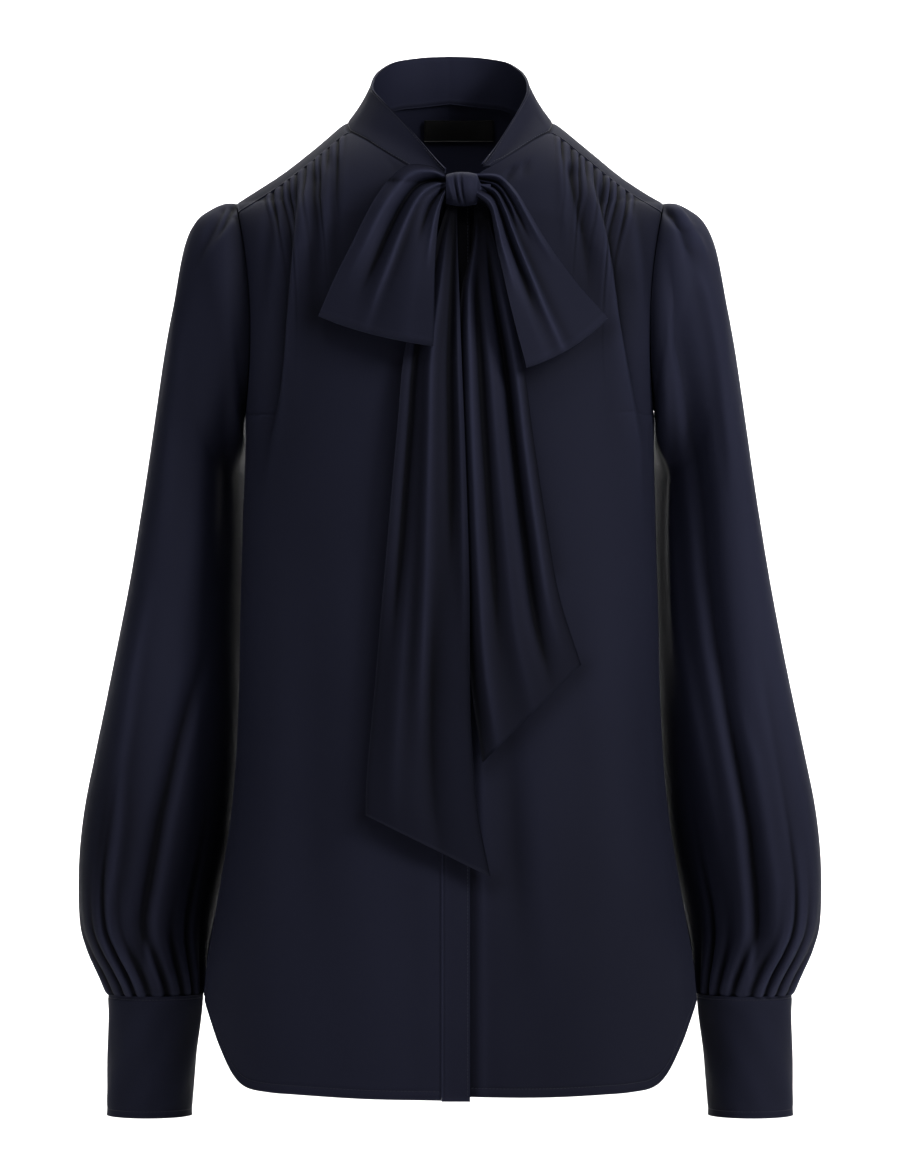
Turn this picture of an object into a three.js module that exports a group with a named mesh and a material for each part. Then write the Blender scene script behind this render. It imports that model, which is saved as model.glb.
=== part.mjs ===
// A tie neck blouse of thin crepe, filled out as worn, in millimetres with +Z up.
// X runs to the wearer's left and -Y is the front. The origin is the middle of the
// neck opening, level with the high points of the shoulders.

import * as THREE from 'three';

// Cloth and seams
const clothThickness = 1.2;
const tieThickness = 1.6;
const bandThickness = 2;
const seamGap = 0.3;

// The two faces of the body and the two sides of the wearer
const FRONT = -1;
const BACK = 1;
const RIGHT = -1;
const LEFT = 1;

// Body sections: half width, and how far the front and back stand from the side seams
const bodyTable = [
  { z: 60, half: 166, front: 74, back: 84 },
  { z: 0, half: 166, front: 84, back: 92 },
  { z: -60, half: 166, front: 95, back: 101 },
  { z: -100, half: 163, front: 104, back: 106 },
  { z: -140, half: 160, front: 111, back: 109 },
  { z: -180, half: 156, front: 116, back: 109 },
  { z: -218, half: 151.3, front: 118, back: 107 },
  { z: -300, half: 152.3, front: 115, back: 101 },
  { z: -368, half: 154.3, front: 113, back: 98 },
  { z: -428, half: 155.5, front: 113, back: 98 },
  { z: -502, half: 160.5, front: 115, back: 101 },
  { z: -578, half: 172.5, front: 118, back: 105 },
  { z: -631, half: 181, front: 120, back: 108 },
  { z: -720, half: 184, front: 122, back: 110 },
];
const sectionPower = 2.4;

// Shoulder ridge, by distance from the middle. Inside the neck it only shapes the slope
const ridgeTable = [
  { x: 0, front: 8, back: 60 },
  { x: 12.5, front: 7.8, back: 58 },
  { x: 25, front: 7.4, back: 53.5 },
  { x: 37, front: 6.8, back: 47.5 },
  { x: 48, front: 6, back: 38.5 },
  { x: 58, front: 4.8, back: 27.5 },
  { x: 66, front: 3.4, back: 15.5 },
  { x: 71.5, front: 1.8, back: 7 },
  { x: 76, front: 0, back: 0 },
  { x: 82, front: -4, back: -4 },
  { x: 92, front: -12.4, back: -12.4 },
  { x: 103, front: -21.5, back: -21.5 },
  { x: 125, front: -39, back: -39 },
  { x: 146, front: -52.8, back: -52.8 },
  { x: 158, front: -60, back: -60 },
  { x: 170, front: -67, back: -67 },
];
const ridgeY = 5;
const shoulderRound = 75;
const archPower = 1.7;

// Armhole, an upright oval
const armholeTopX = 158;
const armholeLowX = 151.3;
const armholeMiddleZ = -139;
const armholeHalf = 79;
const armholeScoop = { [FRONT]: 8, [BACK]: 6 };
const armholeDepth = { [FRONT]: 54, [BACK]: 52 };
const armholeSteps = 28;
const yokeFrontStep = 2;
const yokeBackStep = 4;
const lowStep = armholeSteps / 2;
const armpitZ = armholeMiddleZ - armholeHalf;
// In the middle of a panel the fine rows end this much lower than the armpit
const middleLow = 14;
const middleLowZ = armpitZ - middleLow;
const correctionReach = 45;

// Neck seam from the middle of the back round to the front corner of the yoke.
// The drop below the ridge is counted negative in front of it
const neckTable = [
  { turn: 0, x: 0, drop: 38.5 },
  { turn: 1, x: 12.5, drop: 37.9 },
  { turn: 2, x: 25, drop: 35 },
  { turn: 3, x: 37, drop: 30.5 },
  { turn: 4, x: 48, drop: 25 },
  { turn: 5, x: 58, drop: 18.5 },
  { turn: 6, x: 66, drop: 11.5 },
  { turn: 7, x: 71.5, drop: 6 },
  { turn: 8, x: 74.5, drop: 2.6 },
  { turn: 9, x: 76, drop: 0 },
  { turn: 10, x: 76.2, drop: -2.6 },
  { turn: 11, x: 75.8, drop: -5.2 },
  { turn: 12, x: 74.9, drop: -8 },
  { turn: 13, x: 73.5, drop: -11 },
];
const neckCornerX = 73.5;
const neckCornerTurn = 13;
// How many turns of the neck seam face the yoke's long back edge, and the yoke's rows
const yokeBackTurns = 7;
const yokeRows = 6;
const frontCornerDrop = 11;

// Front neckline, from the corner of the yoke down to the middle
const necklineTable = [
  { x: -10, z: -52 },
  { x: 0, z: -52 },
  { x: 6, z: -50.5 },
  { x: 15, z: -47 },
  { x: 26, z: -41 },
  { x: 38, z: -33.5 },
  { x: 50, z: -25.5 },
  { x: 62, z: -17 },
  { x: 73.5, z: -9.9 },
];

// Top edge of the collar band on each side, at the same turns as the neck seam
const collarTopTable = {
  [RIGHT]: [
    { turn: 0, x: 0, y: 68, z: 55 },
    { turn: 2, x: 22, y: 65, z: 53.8 },
    { turn: 4, x: 42, y: 53, z: 49.5 },
    { turn: 6, x: 53, y: 33, z: 41.5 },
    { turn: 8, x: 57, y: 14, z: 34.5 },
    { turn: 9, x: 57.6, y: 4, z: 31 },
    { turn: 11, x: 57.6, y: -7, z: 26.5 },
    { turn: 13, x: 56, y: -18, z: 21 },
    { turn: 14, x: 50, y: -32, z: 13.5 },
    { turn: 15, x: 42, y: -44, z: 4.5 },
    { turn: 16, x: 31, y: -58, z: -8 },
    { turn: 17, x: 20, y: -70, z: -21.5 },
    { turn: 18, x: 10, y: -80, z: -34 },
    { turn: 19, x: 4, y: -86, z: -41 },
  ],
  [LEFT]: [
    { turn: 0, x: 0, y: 68, z: 55 },
    { turn: 2, x: 22, y: 65, z: 53.8 },
    { turn: 4, x: 42, y: 53, z: 49.5 },
    { turn: 6, x: 53, y: 33, z: 41.5 },
    { turn: 8, x: 57, y: 14, z: 34.5 },
    { turn: 9, x: 57.6, y: 4, z: 31 },
    { turn: 11, x: 57.6, y: -7, z: 25.5 },
    { turn: 13, x: 56, y: -19, z: 17.5 },
    { turn: 14, x: 50, y: -34, z: 5.5 },
    { turn: 15, x: 42, y: -50, z: -8.5 },
    { turn: 16, x: 34, y: -66, z: -23 },
    { turn: 17, x: 24, y: -83, z: -38 },
  ],
};

// Rows of the collar band by share of its height, how far its middle lies in, and its
// clearance along its height from the neck seam, which it meets at a slant
const collarRise = [0, 0.33, 0.66, 1];
const collarHollow = 1.2;
const collarFootGap = 1.6 * seamGap;

// Where the front neckline has a column of points, and the fly front band
const neckStops = {
  [RIGHT]: [62, 50, 38, 26, 15, 6.15],
  [LEFT]: [62, 50, 38, 30, 24.5, 16, 8, -1, -10],
};
const collarStops = { [RIGHT]: 6, [LEFT]: 4 };
const placketFrom = -5.8;
const placketTo = 14.4;
const placketXs = [placketFrom, 0.5, 7.5, placketTo];
const placketRows = 18;
const placketProud = 0.5;
// Rows lie closer together near the neck, where the surface turns
const closerAtTop = 1.8;
const tuckDepth = 2.3;
const tuckUntil = 15.5;
const tuckFade = 9;

// Gathers under the front yoke seam
const frontGathers = { from: 77, wave: 5.9, count: 10, height: 1.15, fade: 32, softHeight: 0.7, softFade: 90 };
// Gathers under the back yoke seam
const backGathers = { from: -56, wave: 14, count: 8, height: 1.5, fade: 60 };

// Columns of the body panels by share of the way to the edge, and near the middle of a
// front by distance from it. The fine ones lie beside the gathers
const frontColumns = [0.24, 0.36, 0.47, 0.55, 0.62, 0.67, 0.71, 0.75, 0.79, 0.83, 0.87, 0.905, 0.94, 0.97, 1];
const frontMiddleXs = { [RIGHT]: [6.15, 21], [LEFT]: [-10, 3, 16, 24.5] };
const frontOuterXs = [143, 150];
const backColumns = [0.12, 0.24, 0.36, 0.47, 0.58, 0.68, 0.77, 0.85, 0.92, 1];
const backOuterColumns = [0.47, 0.6, 0.72, 0.82, 0.9, 0.96, 1];
const fineRows = { [FRONT]: 4, [BACK]: 2 };
const lowRows = 6;

// Hem line, by share of the way from the middle to the side seam
const hemTable = [
  { across: 0, z: -712.8 },
  { across: 0.35, z: -711.8 },
  { across: 0.6, z: -710 },
  { across: 0.72, z: -709 },
  { across: 0.81, z: -706 },
  { across: 0.865, z: -697 },
  { across: 0.925, z: -677 },
  { across: 0.965, z: -660 },
  { across: 1, z: -646 },
];
const underHemLift = 2.5;

// Long folds of the fronts, sleeves and back. Each runs from top to low through mid,
// with its half width and how far it stands out, or in where it is negative
const rightFrontFolds = [
  { zTop: -50, zLow: -245, xTop: -119, xMid: -128, xLow: -139, width: 5.5, out: -4.5 },
  { zTop: -50, zLow: -232, xTop: -112, xMid: -119, xLow: -126, width: 6.5, out: 3.2 },
  { zTop: -38, zLow: -170, xTop: -98, xMid: -101, xLow: -104, width: 6, out: -2 },
  { zTop: -300, zLow: -640, xTop: -118, xMid: -121, xLow: -126, width: 17, out: 2.4 },
];
const leftFrontFolds = [
  { zTop: -38, zLow: -118, xTop: 92, xMid: 98, xLow: 105, width: 5, out: -3 },
  { zTop: -40, zLow: -300, xTop: 100, xMid: 123, xLow: 142, width: 8, out: 4.2 },
  { zTop: -50, zLow: -230, xTop: 116, xMid: 131, xLow: 147, width: 5.5, out: -4 },
  { zTop: -430, zLow: -600, xTop: 41, xMid: 46, xLow: 52, width: 14, out: -2.6 },
];
const backFolds = [
  { zTop: -90, zLow: -330, xTop: -104, xMid: -112, xLow: -124, width: 9, out: 3.5 },
  { zTop: -90, zLow: -300, xTop: 110, xMid: 117, xLow: 128, width: 9, out: 3.5 },
  { zTop: -300, zLow: -690, xTop: -62, xMid: -66, xLow: -72, width: 20, out: -4 },
  { zTop: -280, zLow: -690, xTop: 70, xMid: 74, xLow: 82, width: 20, out: -4 },
];

// Sleeve rings from the armhole to the cuff: the outer and inner point of each ring seen
// from the front, and half of its depth
const sleeveTable = [
  { step: 0, outX: 158, outZ: -60, inX: 151.3, inZ: -218, deep: 54 },
  { step: 1, outX: 167, outZ: -60.6, inX: 152.2, inZ: -221, deep: 57 },
  { step: 2, outX: 177, outZ: -65, inX: 152.6, inZ: -225, deep: 59 },
  { step: 3, outX: 187, outZ: -72.8, inX: 152.6, inZ: -231, deep: 60 },
  { step: 4, outX: 194.5, outZ: -86, inX: 152.4, inZ: -239, deep: 60.5 },
  { step: 5, outX: 200, outZ: -103, inX: 152, inZ: -250, deep: 60.5 },
  { step: 6, outX: 205, outZ: -127, inX: 151.6, inZ: -265, deep: 60.5 },
  { step: 7, outX: 210.5, outZ: -160, inX: 151.5, inZ: -286, deep: 60 },
  { step: 8, outX: 216, outZ: -199, inX: 151.6, inZ: -311, deep: 60 },
  { step: 9, outX: 222, outZ: -242, inX: 152.2, inZ: -341, deep: 60 },
  { step: 10, outX: 228.5, outZ: -286, inX: 153.2, inZ: -373, deep: 60.5 },
  { step: 11, outX: 236, outZ: -333, inX: 154.2, inZ: -406, deep: 61.5 },
  { step: 12, outX: 244.4, outZ: -379, inX: 155, inZ: -440, deep: 63 },
  { step: 13, outX: 252.8, outZ: -421, inX: 156.8, inZ: -473, deep: 64.5 },
  { step: 14, outX: 262.2, outZ: -466, inX: 159.6, inZ: -506, deep: 65 },
  { step: 15, outX: 270.4, outZ: -508, inX: 164.2, inZ: -539, deep: 64 },
  { step: 16, outX: 274.2, outZ: -548, inX: 170.4, inZ: -569, deep: 61 },
  { step: 17, outX: 273.4, outZ: -589, inX: 176.4, inZ: -597, deep: 55 },
  { step: 18, outX: 268.4, outZ: -611, inX: 180, inZ: -614, deep: 50 },
  { step: 19, outX: 260.6, outZ: -630, inX: 182.2, inZ: -631, deep: 42 },
  { step: 20, outX: 254.6, outZ: -646, inX: 183, inZ: -646, deep: 35 },
];
const sleeveLooseSteps = [1, 2, 3, 4, 5.5, 7.5, 9.5, 11.5, 13.5, 15.5];
const sleeveEnd = 20;
const sleeveGatherSteps = [17.8, 19.2, sleeveEnd];
const sleeveColumns = 32;
// The back half of a sleeve swings in behind the body and the whole sleeve hangs a little
// further back than its armhole, so no light shows between it and the side seam
const sleeveSwing = { from: 3, full: 6, most: 20, atCuff: 5, fadeFrom: 16 };
const sleeveHang = { from: 1, full: 8, back: 20 };
const armholeClearance = 0.45;
const cuffGathers = { count: 18, height: 1.3, bulge: 2.2, bulgeAt: 22, fade: 85 };

const rightSleeveFolds = [
  { zTop: -58, zLow: -92, xTop: -159, xMid: -168, xLow: -179, width: 5, out: -4 },
  { zTop: -62, zLow: -112, xTop: -169, xMid: -180, xLow: -190, width: 4.5, out: -2.5 },
  { zTop: -66, zLow: -105, xTop: -157, xMid: -153, xLow: -150, width: 4, out: -1.5 },
  { zTop: -370, zLow: -630, xTop: -230, xMid: -246, xLow: -254, width: 8, out: 3 },
  { zTop: -395, zLow: -640, xTop: -186, xMid: -213, xLow: -231, width: 9, out: -5 },
  { zTop: -130, zLow: -420, xTop: -184, xMid: -186, xLow: -196, width: 11, out: 3 },
];
const leftSleeveFolds = [
  { zTop: -62, zLow: -122, xTop: 161, xMid: 178, xLow: 182, width: 5, out: -4.5 },
  { zTop: -62, zLow: -95, xTop: 176, xMid: 184, xLow: 191, width: 4, out: -2 },
  { zTop: -112, zLow: -270, xTop: 182, xMid: 202, xLow: 210, width: 7, out: 3.5 },
  { zTop: -112, zLow: -642, xTop: 164, xMid: 192, xLow: 230, width: 8, out: -6 },
  { zTop: -200, zLow: -600, xTop: 184, xMid: 208, xLow: 238, width: 8, out: 3.5 },
];
const sleeveBackFolds = [
  { zTop: -120, zLow: -600, xTop: 174, xMid: 200, xLow: 226, width: 12, out: -4 },
  { zTop: -240, zLow: -620, xTop: 204, xMid: 224, xLow: 247, width: 10, out: 3 },
];

// Cuffs
const cuffTable = [
  { z: -646.4, outX: 254.4, inX: 183, deep: 35 },
  { z: -667, outX: 254.5, inX: 185.8, deep: 34.3 },
  { z: -692, outX: 254.7, inX: 188.4, deep: 33.6 },
  { z: -736.3, outX: 255, inX: 192, deep: 32.5 },
];
const cuffStart = 250;
const cuffOverlap = 31;
const cuffEase = 40;
const cuffColumns = 28;
const buttonRadius = 5;
const buttonThickness = 2;
const buttonTurn = 265;
const buttonZs = [-669, -713];

// Bow loops: the upper edge and the lower edge from the knot to the turn
const loopTable = {
  [RIGHT]: [
    { along: 0, upX: -3.6, upZ: -46, lowX: -3.6, lowZ: -61 },
    { along: 0.1, upX: -14, upZ: -41, lowX: -6, lowZ: -69 },
    { along: 0.22, upX: -30, upZ: -40.5, lowX: -8.3, lowZ: -82 },
    { along: 0.34, upX: -43, upZ: -50, lowX: -9.7, lowZ: -97 },
    { along: 0.48, upX: -56, upZ: -69, lowX: -10.7, lowZ: -114 },
    { along: 0.64, upX: -70, upZ: -97, lowX: -11.2, lowZ: -131 },
    { along: 0.82, upX: -83, upZ: -123, lowX: -11.4, lowZ: -149 },
    { along: 1, upX: -91, upZ: -141, lowX: -11.6, lowZ: -162 },
  ],
  [LEFT]: [
    { along: 0, upX: 29.9, upZ: -46, lowX: 29.9, lowZ: -61 },
    { along: 0.1, upX: 38, upZ: -48, lowX: 30, lowZ: -72 },
    { along: 0.22, upX: 47, upZ: -58, lowX: 31.5, lowZ: -88 },
    { along: 0.34, upX: 55, upZ: -71, lowX: 34, lowZ: -103 },
    { along: 0.48, upX: 66, upZ: -90, lowX: 38, lowZ: -120 },
    { along: 0.64, upX: 80, upZ: -111, lowX: 42, lowZ: -138 },
    { along: 0.82, upX: 94, upZ: -129, lowX: 47, lowZ: -158 },
    { along: 1, upX: 109, upZ: -145, lowX: 53, lowZ: -180 },
  ],
};
const loopDepthTable = [
  { along: 0, lift: 9, gap: 5 },
  { along: 0.1, lift: 8.5, gap: 9 },
  { along: 0.34, lift: 8, gap: 17 },
  { along: 0.64, lift: 7.5, gap: 20 },
  { along: 1, lift: 7, gap: 13 },
];
// The inner part of a loop lies over the top of a tail
const loopOverTail = { lift: 4.5, from: 0.45, to: 0.8 };
const loopSpacing = [0, 0.1, 0.22, 0.38, 0.56, 0.78, 1];
const loopStep = 0.05;
const loopTurns = 3;
const loopColumns = 9;
const loopPleats = { count: 2.5, height: 2.6, fade: 0.4 };

// Tails: the left and right edge seen from the front, from the knot to the slanted end
const tailTable = {
  [RIGHT]: [
    { along: 0, aX: -2, aZ: -68.9, bX: 5, bZ: -70.3 },
    { along: 0.05, aX: -9, aZ: -92, bX: 5.4, bZ: -95 },
    { along: 0.12, aX: -17.6, aZ: -121, bX: 6.6, bZ: -130 },
    { along: 0.24, aX: -32, aZ: -172, bX: 8.6, bZ: -186 },
    { along: 0.36, aX: -37.5, aZ: -226, bX: 11, bZ: -244 },
    { along: 0.56, aX: -45.6, aZ: -318, bX: 14, bZ: -340 },
    { along: 0.78, aX: -54, aZ: -415, bX: 14.8, bZ: -440 },
    { along: 0.92, aX: -60, aZ: -483, bX: 20.5, bZ: -508 },
    { along: 1, aX: -60.5, aZ: -508, bX: 29, bZ: -552 },
  ],
  [LEFT]: [
    { along: 0, aX: 17.6, aZ: -70, bX: 27, bZ: -68.7 },
    { along: 0.06, aX: 15.6, aZ: -95, bX: 30, bZ: -88 },
    { along: 0.16, aX: 16.2, aZ: -134, bX: 39, bZ: -123 },
    { along: 0.32, aX: 17.6, aZ: -197, bX: 52, bZ: -180 },
    { along: 0.5, aX: 17.6, aZ: -267, bX: 60, bZ: -238 },
    { along: 0.7, aX: 18.6, aZ: -346, bX: 70, bZ: -303 },
    { along: 0.86, aX: 20.8, aZ: -412, bX: 79, bZ: -352 },
    { along: 1, aX: 23.4, aZ: -470, bX: 94.4, bZ: -400 },
  ],
};
const tailLift = { near: 7.5, far: 12, from: -120, to: -300 };
// Folds that run down the tails, by share of the width
const tailFolds = {
  [RIGHT]: [
    { across: 0.2, width: 0.09, out: -3.5, from: 0, to: 0.75 },
    { across: 0.48, width: 0.13, out: 5, from: 0, to: 0.9 },
    { across: 0.78, width: 0.1, out: -3, from: 0, to: 0.6 },
    { across: 0.55, width: 0.16, out: -4.5, from: 0.6, to: 1.1 },
  ],
  [LEFT]: [
    { across: 0.18, width: 0.12, out: 5.5, from: 0, to: 1.1 },
    { across: 0.5, width: 0.13, out: 3, from: 0.1, to: 1.1 },
    { across: 0.72, width: 0.08, out: -5.5, from: 0.08, to: 1 },
    { across: 0.88, width: 0.09, out: 3.5, from: 0.1, to: 1 },
  ],
};
const tailRows = 14;
const tailCloserAtTop = 1.15;
const tailColumns = 11;

// Knot, a barrel of cloth wound round the waists of the loops
const knot = { fromX: -3, toX: 29.3, y: -106.3, z: -57.5, deep: 11, tall: 12.4, groove: 0.8, grooves: 4.5 };

// Neck label
const label = { fromX: -20, toX: 34, fromZ: -6, toZ: 9.5, thickness: 0.8, off: 1.4 };

// Small helpers
const clamp = (value, low, high) => Math.min(Math.max(value, low), high);
const mix = (a, b, share) => a + (b - a) * share;
const ease = (from, to, value) => {
  const t = clamp((value - from) / (to - from), 0, 1);
  return t * t * (3 - 2 * t);
};

// Reads a table smoothly between its rows
function tableOf(rows, key) {
  const order = [...rows].sort((a, b) => a[key] - b[key]);
  const last = order.length - 1;
  const slope = (i, column) => {
    const low = order[Math.max(i - 1, 0)];
    const high = order[Math.min(i + 1, last)];
    return (high[column] - low[column]) / (high[key] - low[key]);
  };
  return (value, column) => {
    const at = clamp(value, order[0][key], order[last][key]);
    let i = 0;
    while (i < last - 1 && at > order[i + 1][key]) i += 1;
    const span = order[i + 1][key] - order[i][key];
    const t = (at - order[i][key]) / span;
    const rise = t * t * (3 - 2 * t);
    const leave = t * (1 - t) * (1 - t) * span * slope(i, column);
    const reach = t * t * (1 - t) * span * slope(i + 1, column);
    return mix(order[i][column], order[i + 1][column], rise) + leave - reach;
  };
}

const body = tableOf(bodyTable, 'z');
const ridge = tableOf(ridgeTable, 'x');
const neck = tableOf(neckTable, 'turn');
const neckline = tableOf(necklineTable, 'x');
const hem = tableOf(hemTable, 'across');
const sleeve = tableOf(sleeveTable, 'step');
const cuff = tableOf(cuffTable, 'z');
const loopDepth = tableOf(loopDepthTable, 'along');

// How far a table of long folds lifts the cloth at a point seen from the front
function foldLift(folds, x, z) {
  let lift = 0;
  for (const fold of folds) {
    const s = (fold.zTop - z) / (fold.zTop - fold.zLow);
    if (s < -0.06 || s > 1) continue;
    const middle = fold.xTop * (1 - s) * (1 - 2 * s) + fold.xMid * 4 * s * (1 - s)
      + fold.xLow * s * (2 * s - 1);
    const away = (x - middle) / fold.width;
    lift += fold.out * Math.exp(-away * away) * ease(-0.06, 0.12, s) * ease(0, 0.4, 1 - s);
  }
  return lift;
}

// The armhole curve, by angle from its top
function armholePoint(angle, face, side) {
  const down = (1 - Math.cos(angle)) / 2;
  const scoop = armholeScoop[face] * Math.sin(angle) ** 2;
  return new THREE.Vector3(
    side * (mix(armholeTopX, armholeLowX, down) - scoop),
    mix(ridgeY, 0, down) + face * armholeDepth[face] * Math.sin(angle),
    armholeMiddleZ + armholeHalf * Math.cos(angle),
  );
}

const stepAngle = (step) => step * 2 * Math.PI / armholeSteps;

// Edge of a body panel at a height: the armhole above the armpit, else the side seam
function edgeAt(z, face) {
  if (z <= armpitZ) return body(z, 'half');
  const angle = Math.acos(clamp((z - armholeMiddleZ) / armholeHalf, -1, 1));
  return armholePoint(angle, face, 1).x;
}

// Depth of the body's surface at a place seen from the front or the back
function plainDepth(x, z, face) {
  const across = Math.min(Math.abs(x) / body(z, 'half'), 1);
  const round = (1 - across ** sectionPower) ** (1 / sectionPower);
  const deep = face === FRONT ? body(z, 'front') : body(z, 'back');
  const top = ridge(Math.abs(x), face === FRONT ? 'front' : 'back');
  const drop = clamp((top - z) / shoulderRound, 0, 1);
  const arch = (1 - (1 - drop) ** archPower) ** (1 / archPower);
  return ridgeY + (face * deep * round - ridgeY) * arch;
}

function torsoDepth(x, z, face) {
  const plain = plainDepth(x, z, face);
  if (z <= armpitZ) return plain;
  const angle = Math.acos(clamp((z - armholeMiddleZ) / armholeHalf, -1, 1));
  const edge = armholePoint(angle, face, 1);
  const near = ease(edge.x - correctionReach, edge.x, Math.abs(x));
  return plain + (edge.y - plainDepth(edge.x, z, face)) * near;
}

function torsoPoint(x, z, face) {
  return new THREE.Vector3(x, torsoDepth(x, z, face), z);
}

function torsoNormal(x, z, face) {
  const d = 0.4;
  const acrossSlope = (torsoDepth(x + d, z, face) - torsoDepth(x - d, z, face)) / (2 * d);
  const upSlope = (torsoDepth(x, z + d, face) - torsoDepth(x, z - d, face)) / (2 * d);
  return new THREE.Vector3(-acrossSlope, 1, -upSlope).multiplyScalar(face).normalize();
}

// A wall of cloth between an outer skin, given as rows of places along and directions
// out, and an inner skin. Rows may have different numbers of points. Closed rows make a tube
function clothWall(rows, thickness, closed = false) {
  const positions = [];
  const faces = [];
  const addPoint = (p) => positions.push(p.x, p.y, p.z) / 3 - 1;
  const skins = rows.map((row) => {
    const outer = row.map((spot) => addPoint(spot.p));
    const inner = row.map((spot) => addPoint(spot.p.clone().addScaledVector(spot.n, -thickness)));
    const along = row.map((spot) => spot.u);
    if (closed) {
      outer.push(outer[0]);
      inner.push(inner[0]);
      along.push(1 + along[0]);
    }
    return { outer, inner, along };
  });
  for (let r = 0; r + 1 < skins.length; r += 1) {
    const a = skins[r];
    const b = skins[r + 1];
    let i = 0;
    let j = 0;
    while (i + 1 < a.outer.length || j + 1 < b.outer.length) {
      const aNext = i + 1 < a.outer.length ? a.along[i + 1] : Infinity;
      const bNext = j + 1 < b.outer.length ? b.along[j + 1] : Infinity;
      if (aNext <= bNext) {
        faces.push(a.outer[i], a.outer[i + 1], b.outer[j]);
        faces.push(a.inner[i + 1], a.inner[i], b.inner[j]);
        i += 1;
      } else {
        faces.push(a.outer[i], b.outer[j + 1], b.outer[j]);
        faces.push(b.inner[j + 1], a.inner[i], b.inner[j]);
        j += 1;
      }
    }
    if (!closed) {
      const ai = a.outer.length - 1;
      const bi = b.outer.length - 1;
      faces.push(a.outer[0], b.outer[0], b.inner[0], a.outer[0], b.inner[0], a.inner[0]);
      faces.push(b.outer[bi], a.outer[ai], a.inner[ai], b.outer[bi], a.inner[ai], b.inner[bi]);
    }
  }
  const first = skins[0];
  for (let i = 0; i + 1 < first.outer.length; i += 1) {
    faces.push(first.outer[i + 1], first.outer[i], first.inner[i]);
    faces.push(first.outer[i + 1], first.inner[i], first.inner[i + 1]);
  }
  const end = skins[skins.length - 1];
  for (let i = 0; i + 1 < end.outer.length; i += 1) {
    faces.push(end.outer[i], end.outer[i + 1], end.inner[i + 1]);
    faces.push(end.outer[i], end.inner[i + 1], end.inner[i]);
  }
  return solidOf(positions, faces);
}

// A geometry whose faces point out
function solidOf(positions, faces) {
  const at = (i) => new THREE.Vector3(positions[3 * i], positions[3 * i + 1], positions[3 * i + 2]);
  let volume = 0;
  for (let f = 0; f < faces.length; f += 3) {
    volume += at(faces[f]).dot(at(faces[f + 1]).cross(at(faces[f + 2])));
  }
  const order = volume > 0 ? faces : faces.slice().reverse();
  const geometry = new THREE.BufferGeometry();
  geometry.setAttribute('position', new THREE.Float32BufferAttribute(positions, 3));
  geometry.setIndex(order);
  geometry.computeVertexNormals();
  return geometry;
}

// Body panels

// Top of a front panel at a distance from the middle: yoke seam outside, neckline inside
const frontSeamEnd = armholePoint(stepAngle(yokeFrontStep), FRONT, 1);
function frontTopAt(x) {
  if (x <= neckCornerX) return neckline(x, 'z');
  const share = (x - neckCornerX) / (frontSeamEnd.x - neckCornerX);
  const endDrop = ridge(frontSeamEnd.x, 'front') - frontSeamEnd.z;
  return ridge(x, 'front') - mix(frontCornerDrop, endDrop, share);
}

// A column of a body panel keeps its share of the way from the middle to the edge, and
// near the middle it runs straight down
function columnX(across, z, face) {
  const straight = 1 - ease(0.06, 0.3, Math.abs(across));
  return across * mix(edgeAt(z, face), armholeTopX, straight);
}

function columnTop(across, topAt, face) {
  let x = across * armholeTopX;
  for (let pass = 0; pass < 6; pass += 1) {
    x = columnX(across, topAt(x), face);
  }
  return topAt(x);
}

function panelRows({ face, side, topAt, topStep, looseAcross, fineAcross, lift }) {
  const rows = [];
  const upperRows = lowStep - topStep;
  const edgeTop = armholePoint(stepAngle(topStep), face, 1).z;
  const spotAt = (across, z, zTop) => {
    const x = side * columnX(across, z, face);
    const n = torsoNormal(x, z, face);
    const p = torsoPoint(x, z, face).addScaledVector(n, lift(across, x, z, zTop - z));
    if (Math.abs(across) > 0.999) p.y += face * seamGap / 2;
    return { u: across, p, n };
  };
  const tops = new Map();
  const topOf = (across) => {
    if (!tops.has(across)) tops.set(across, columnTop(Math.abs(across), topAt, face));
    return Math.abs(across) > 0.999 ? edgeTop : tops.get(across);
  };
  const lowOf = (across) => mix(middleLowZ, armpitZ, across * across);
  for (let r = 0; r <= upperRows; r += 1) {
    const edgeZ = armholePoint(stepAngle(topStep + r), face, 1).z;
    const edgeShare = (edgeTop - edgeZ) / (edgeTop - armpitZ);
    const columns = r < fineRows[face] ? fineAcross : looseAcross;
    rows.push(columns.map((across) => {
      const share = mix(r / upperRows, edgeShare, Math.abs(across) ** 3);
      const top = topOf(across) - (r === 0 ? seamGap : 0);
      return spotAt(across, mix(top, lowOf(across), share), top);
    }));
  }
  for (let r = 1; r <= lowRows; r += 1) {
    rows.push(looseAcross.map((across) => {
      const end = hem(Math.abs(across), 'z');
      return spotAt(across, mix(lowOf(across), end, r / lowRows), topOf(across));
    }));
  }
  return rows;
}

// The panel's columns: every quarter of a gather at the top, and wider ones below
const gatherTop = [];
for (let q = 0; q <= frontGathers.count * 4; q += 1) {
  gatherTop.push((frontGathers.from + q * frontGathers.wave / 4) / armholeTopX);
}
const frontFine = (side) => [
  ...neckStops[side].slice().reverse().map((x) => x / armholeTopX),
  neckCornerX / armholeTopX,
  ...gatherTop,
  ...frontOuterXs.map((x) => x / armholeTopX),
  1,
];
const frontLoose = (side) => [...frontMiddleXs[side].map((x) => x / armholeTopX), ...frontColumns];

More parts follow.
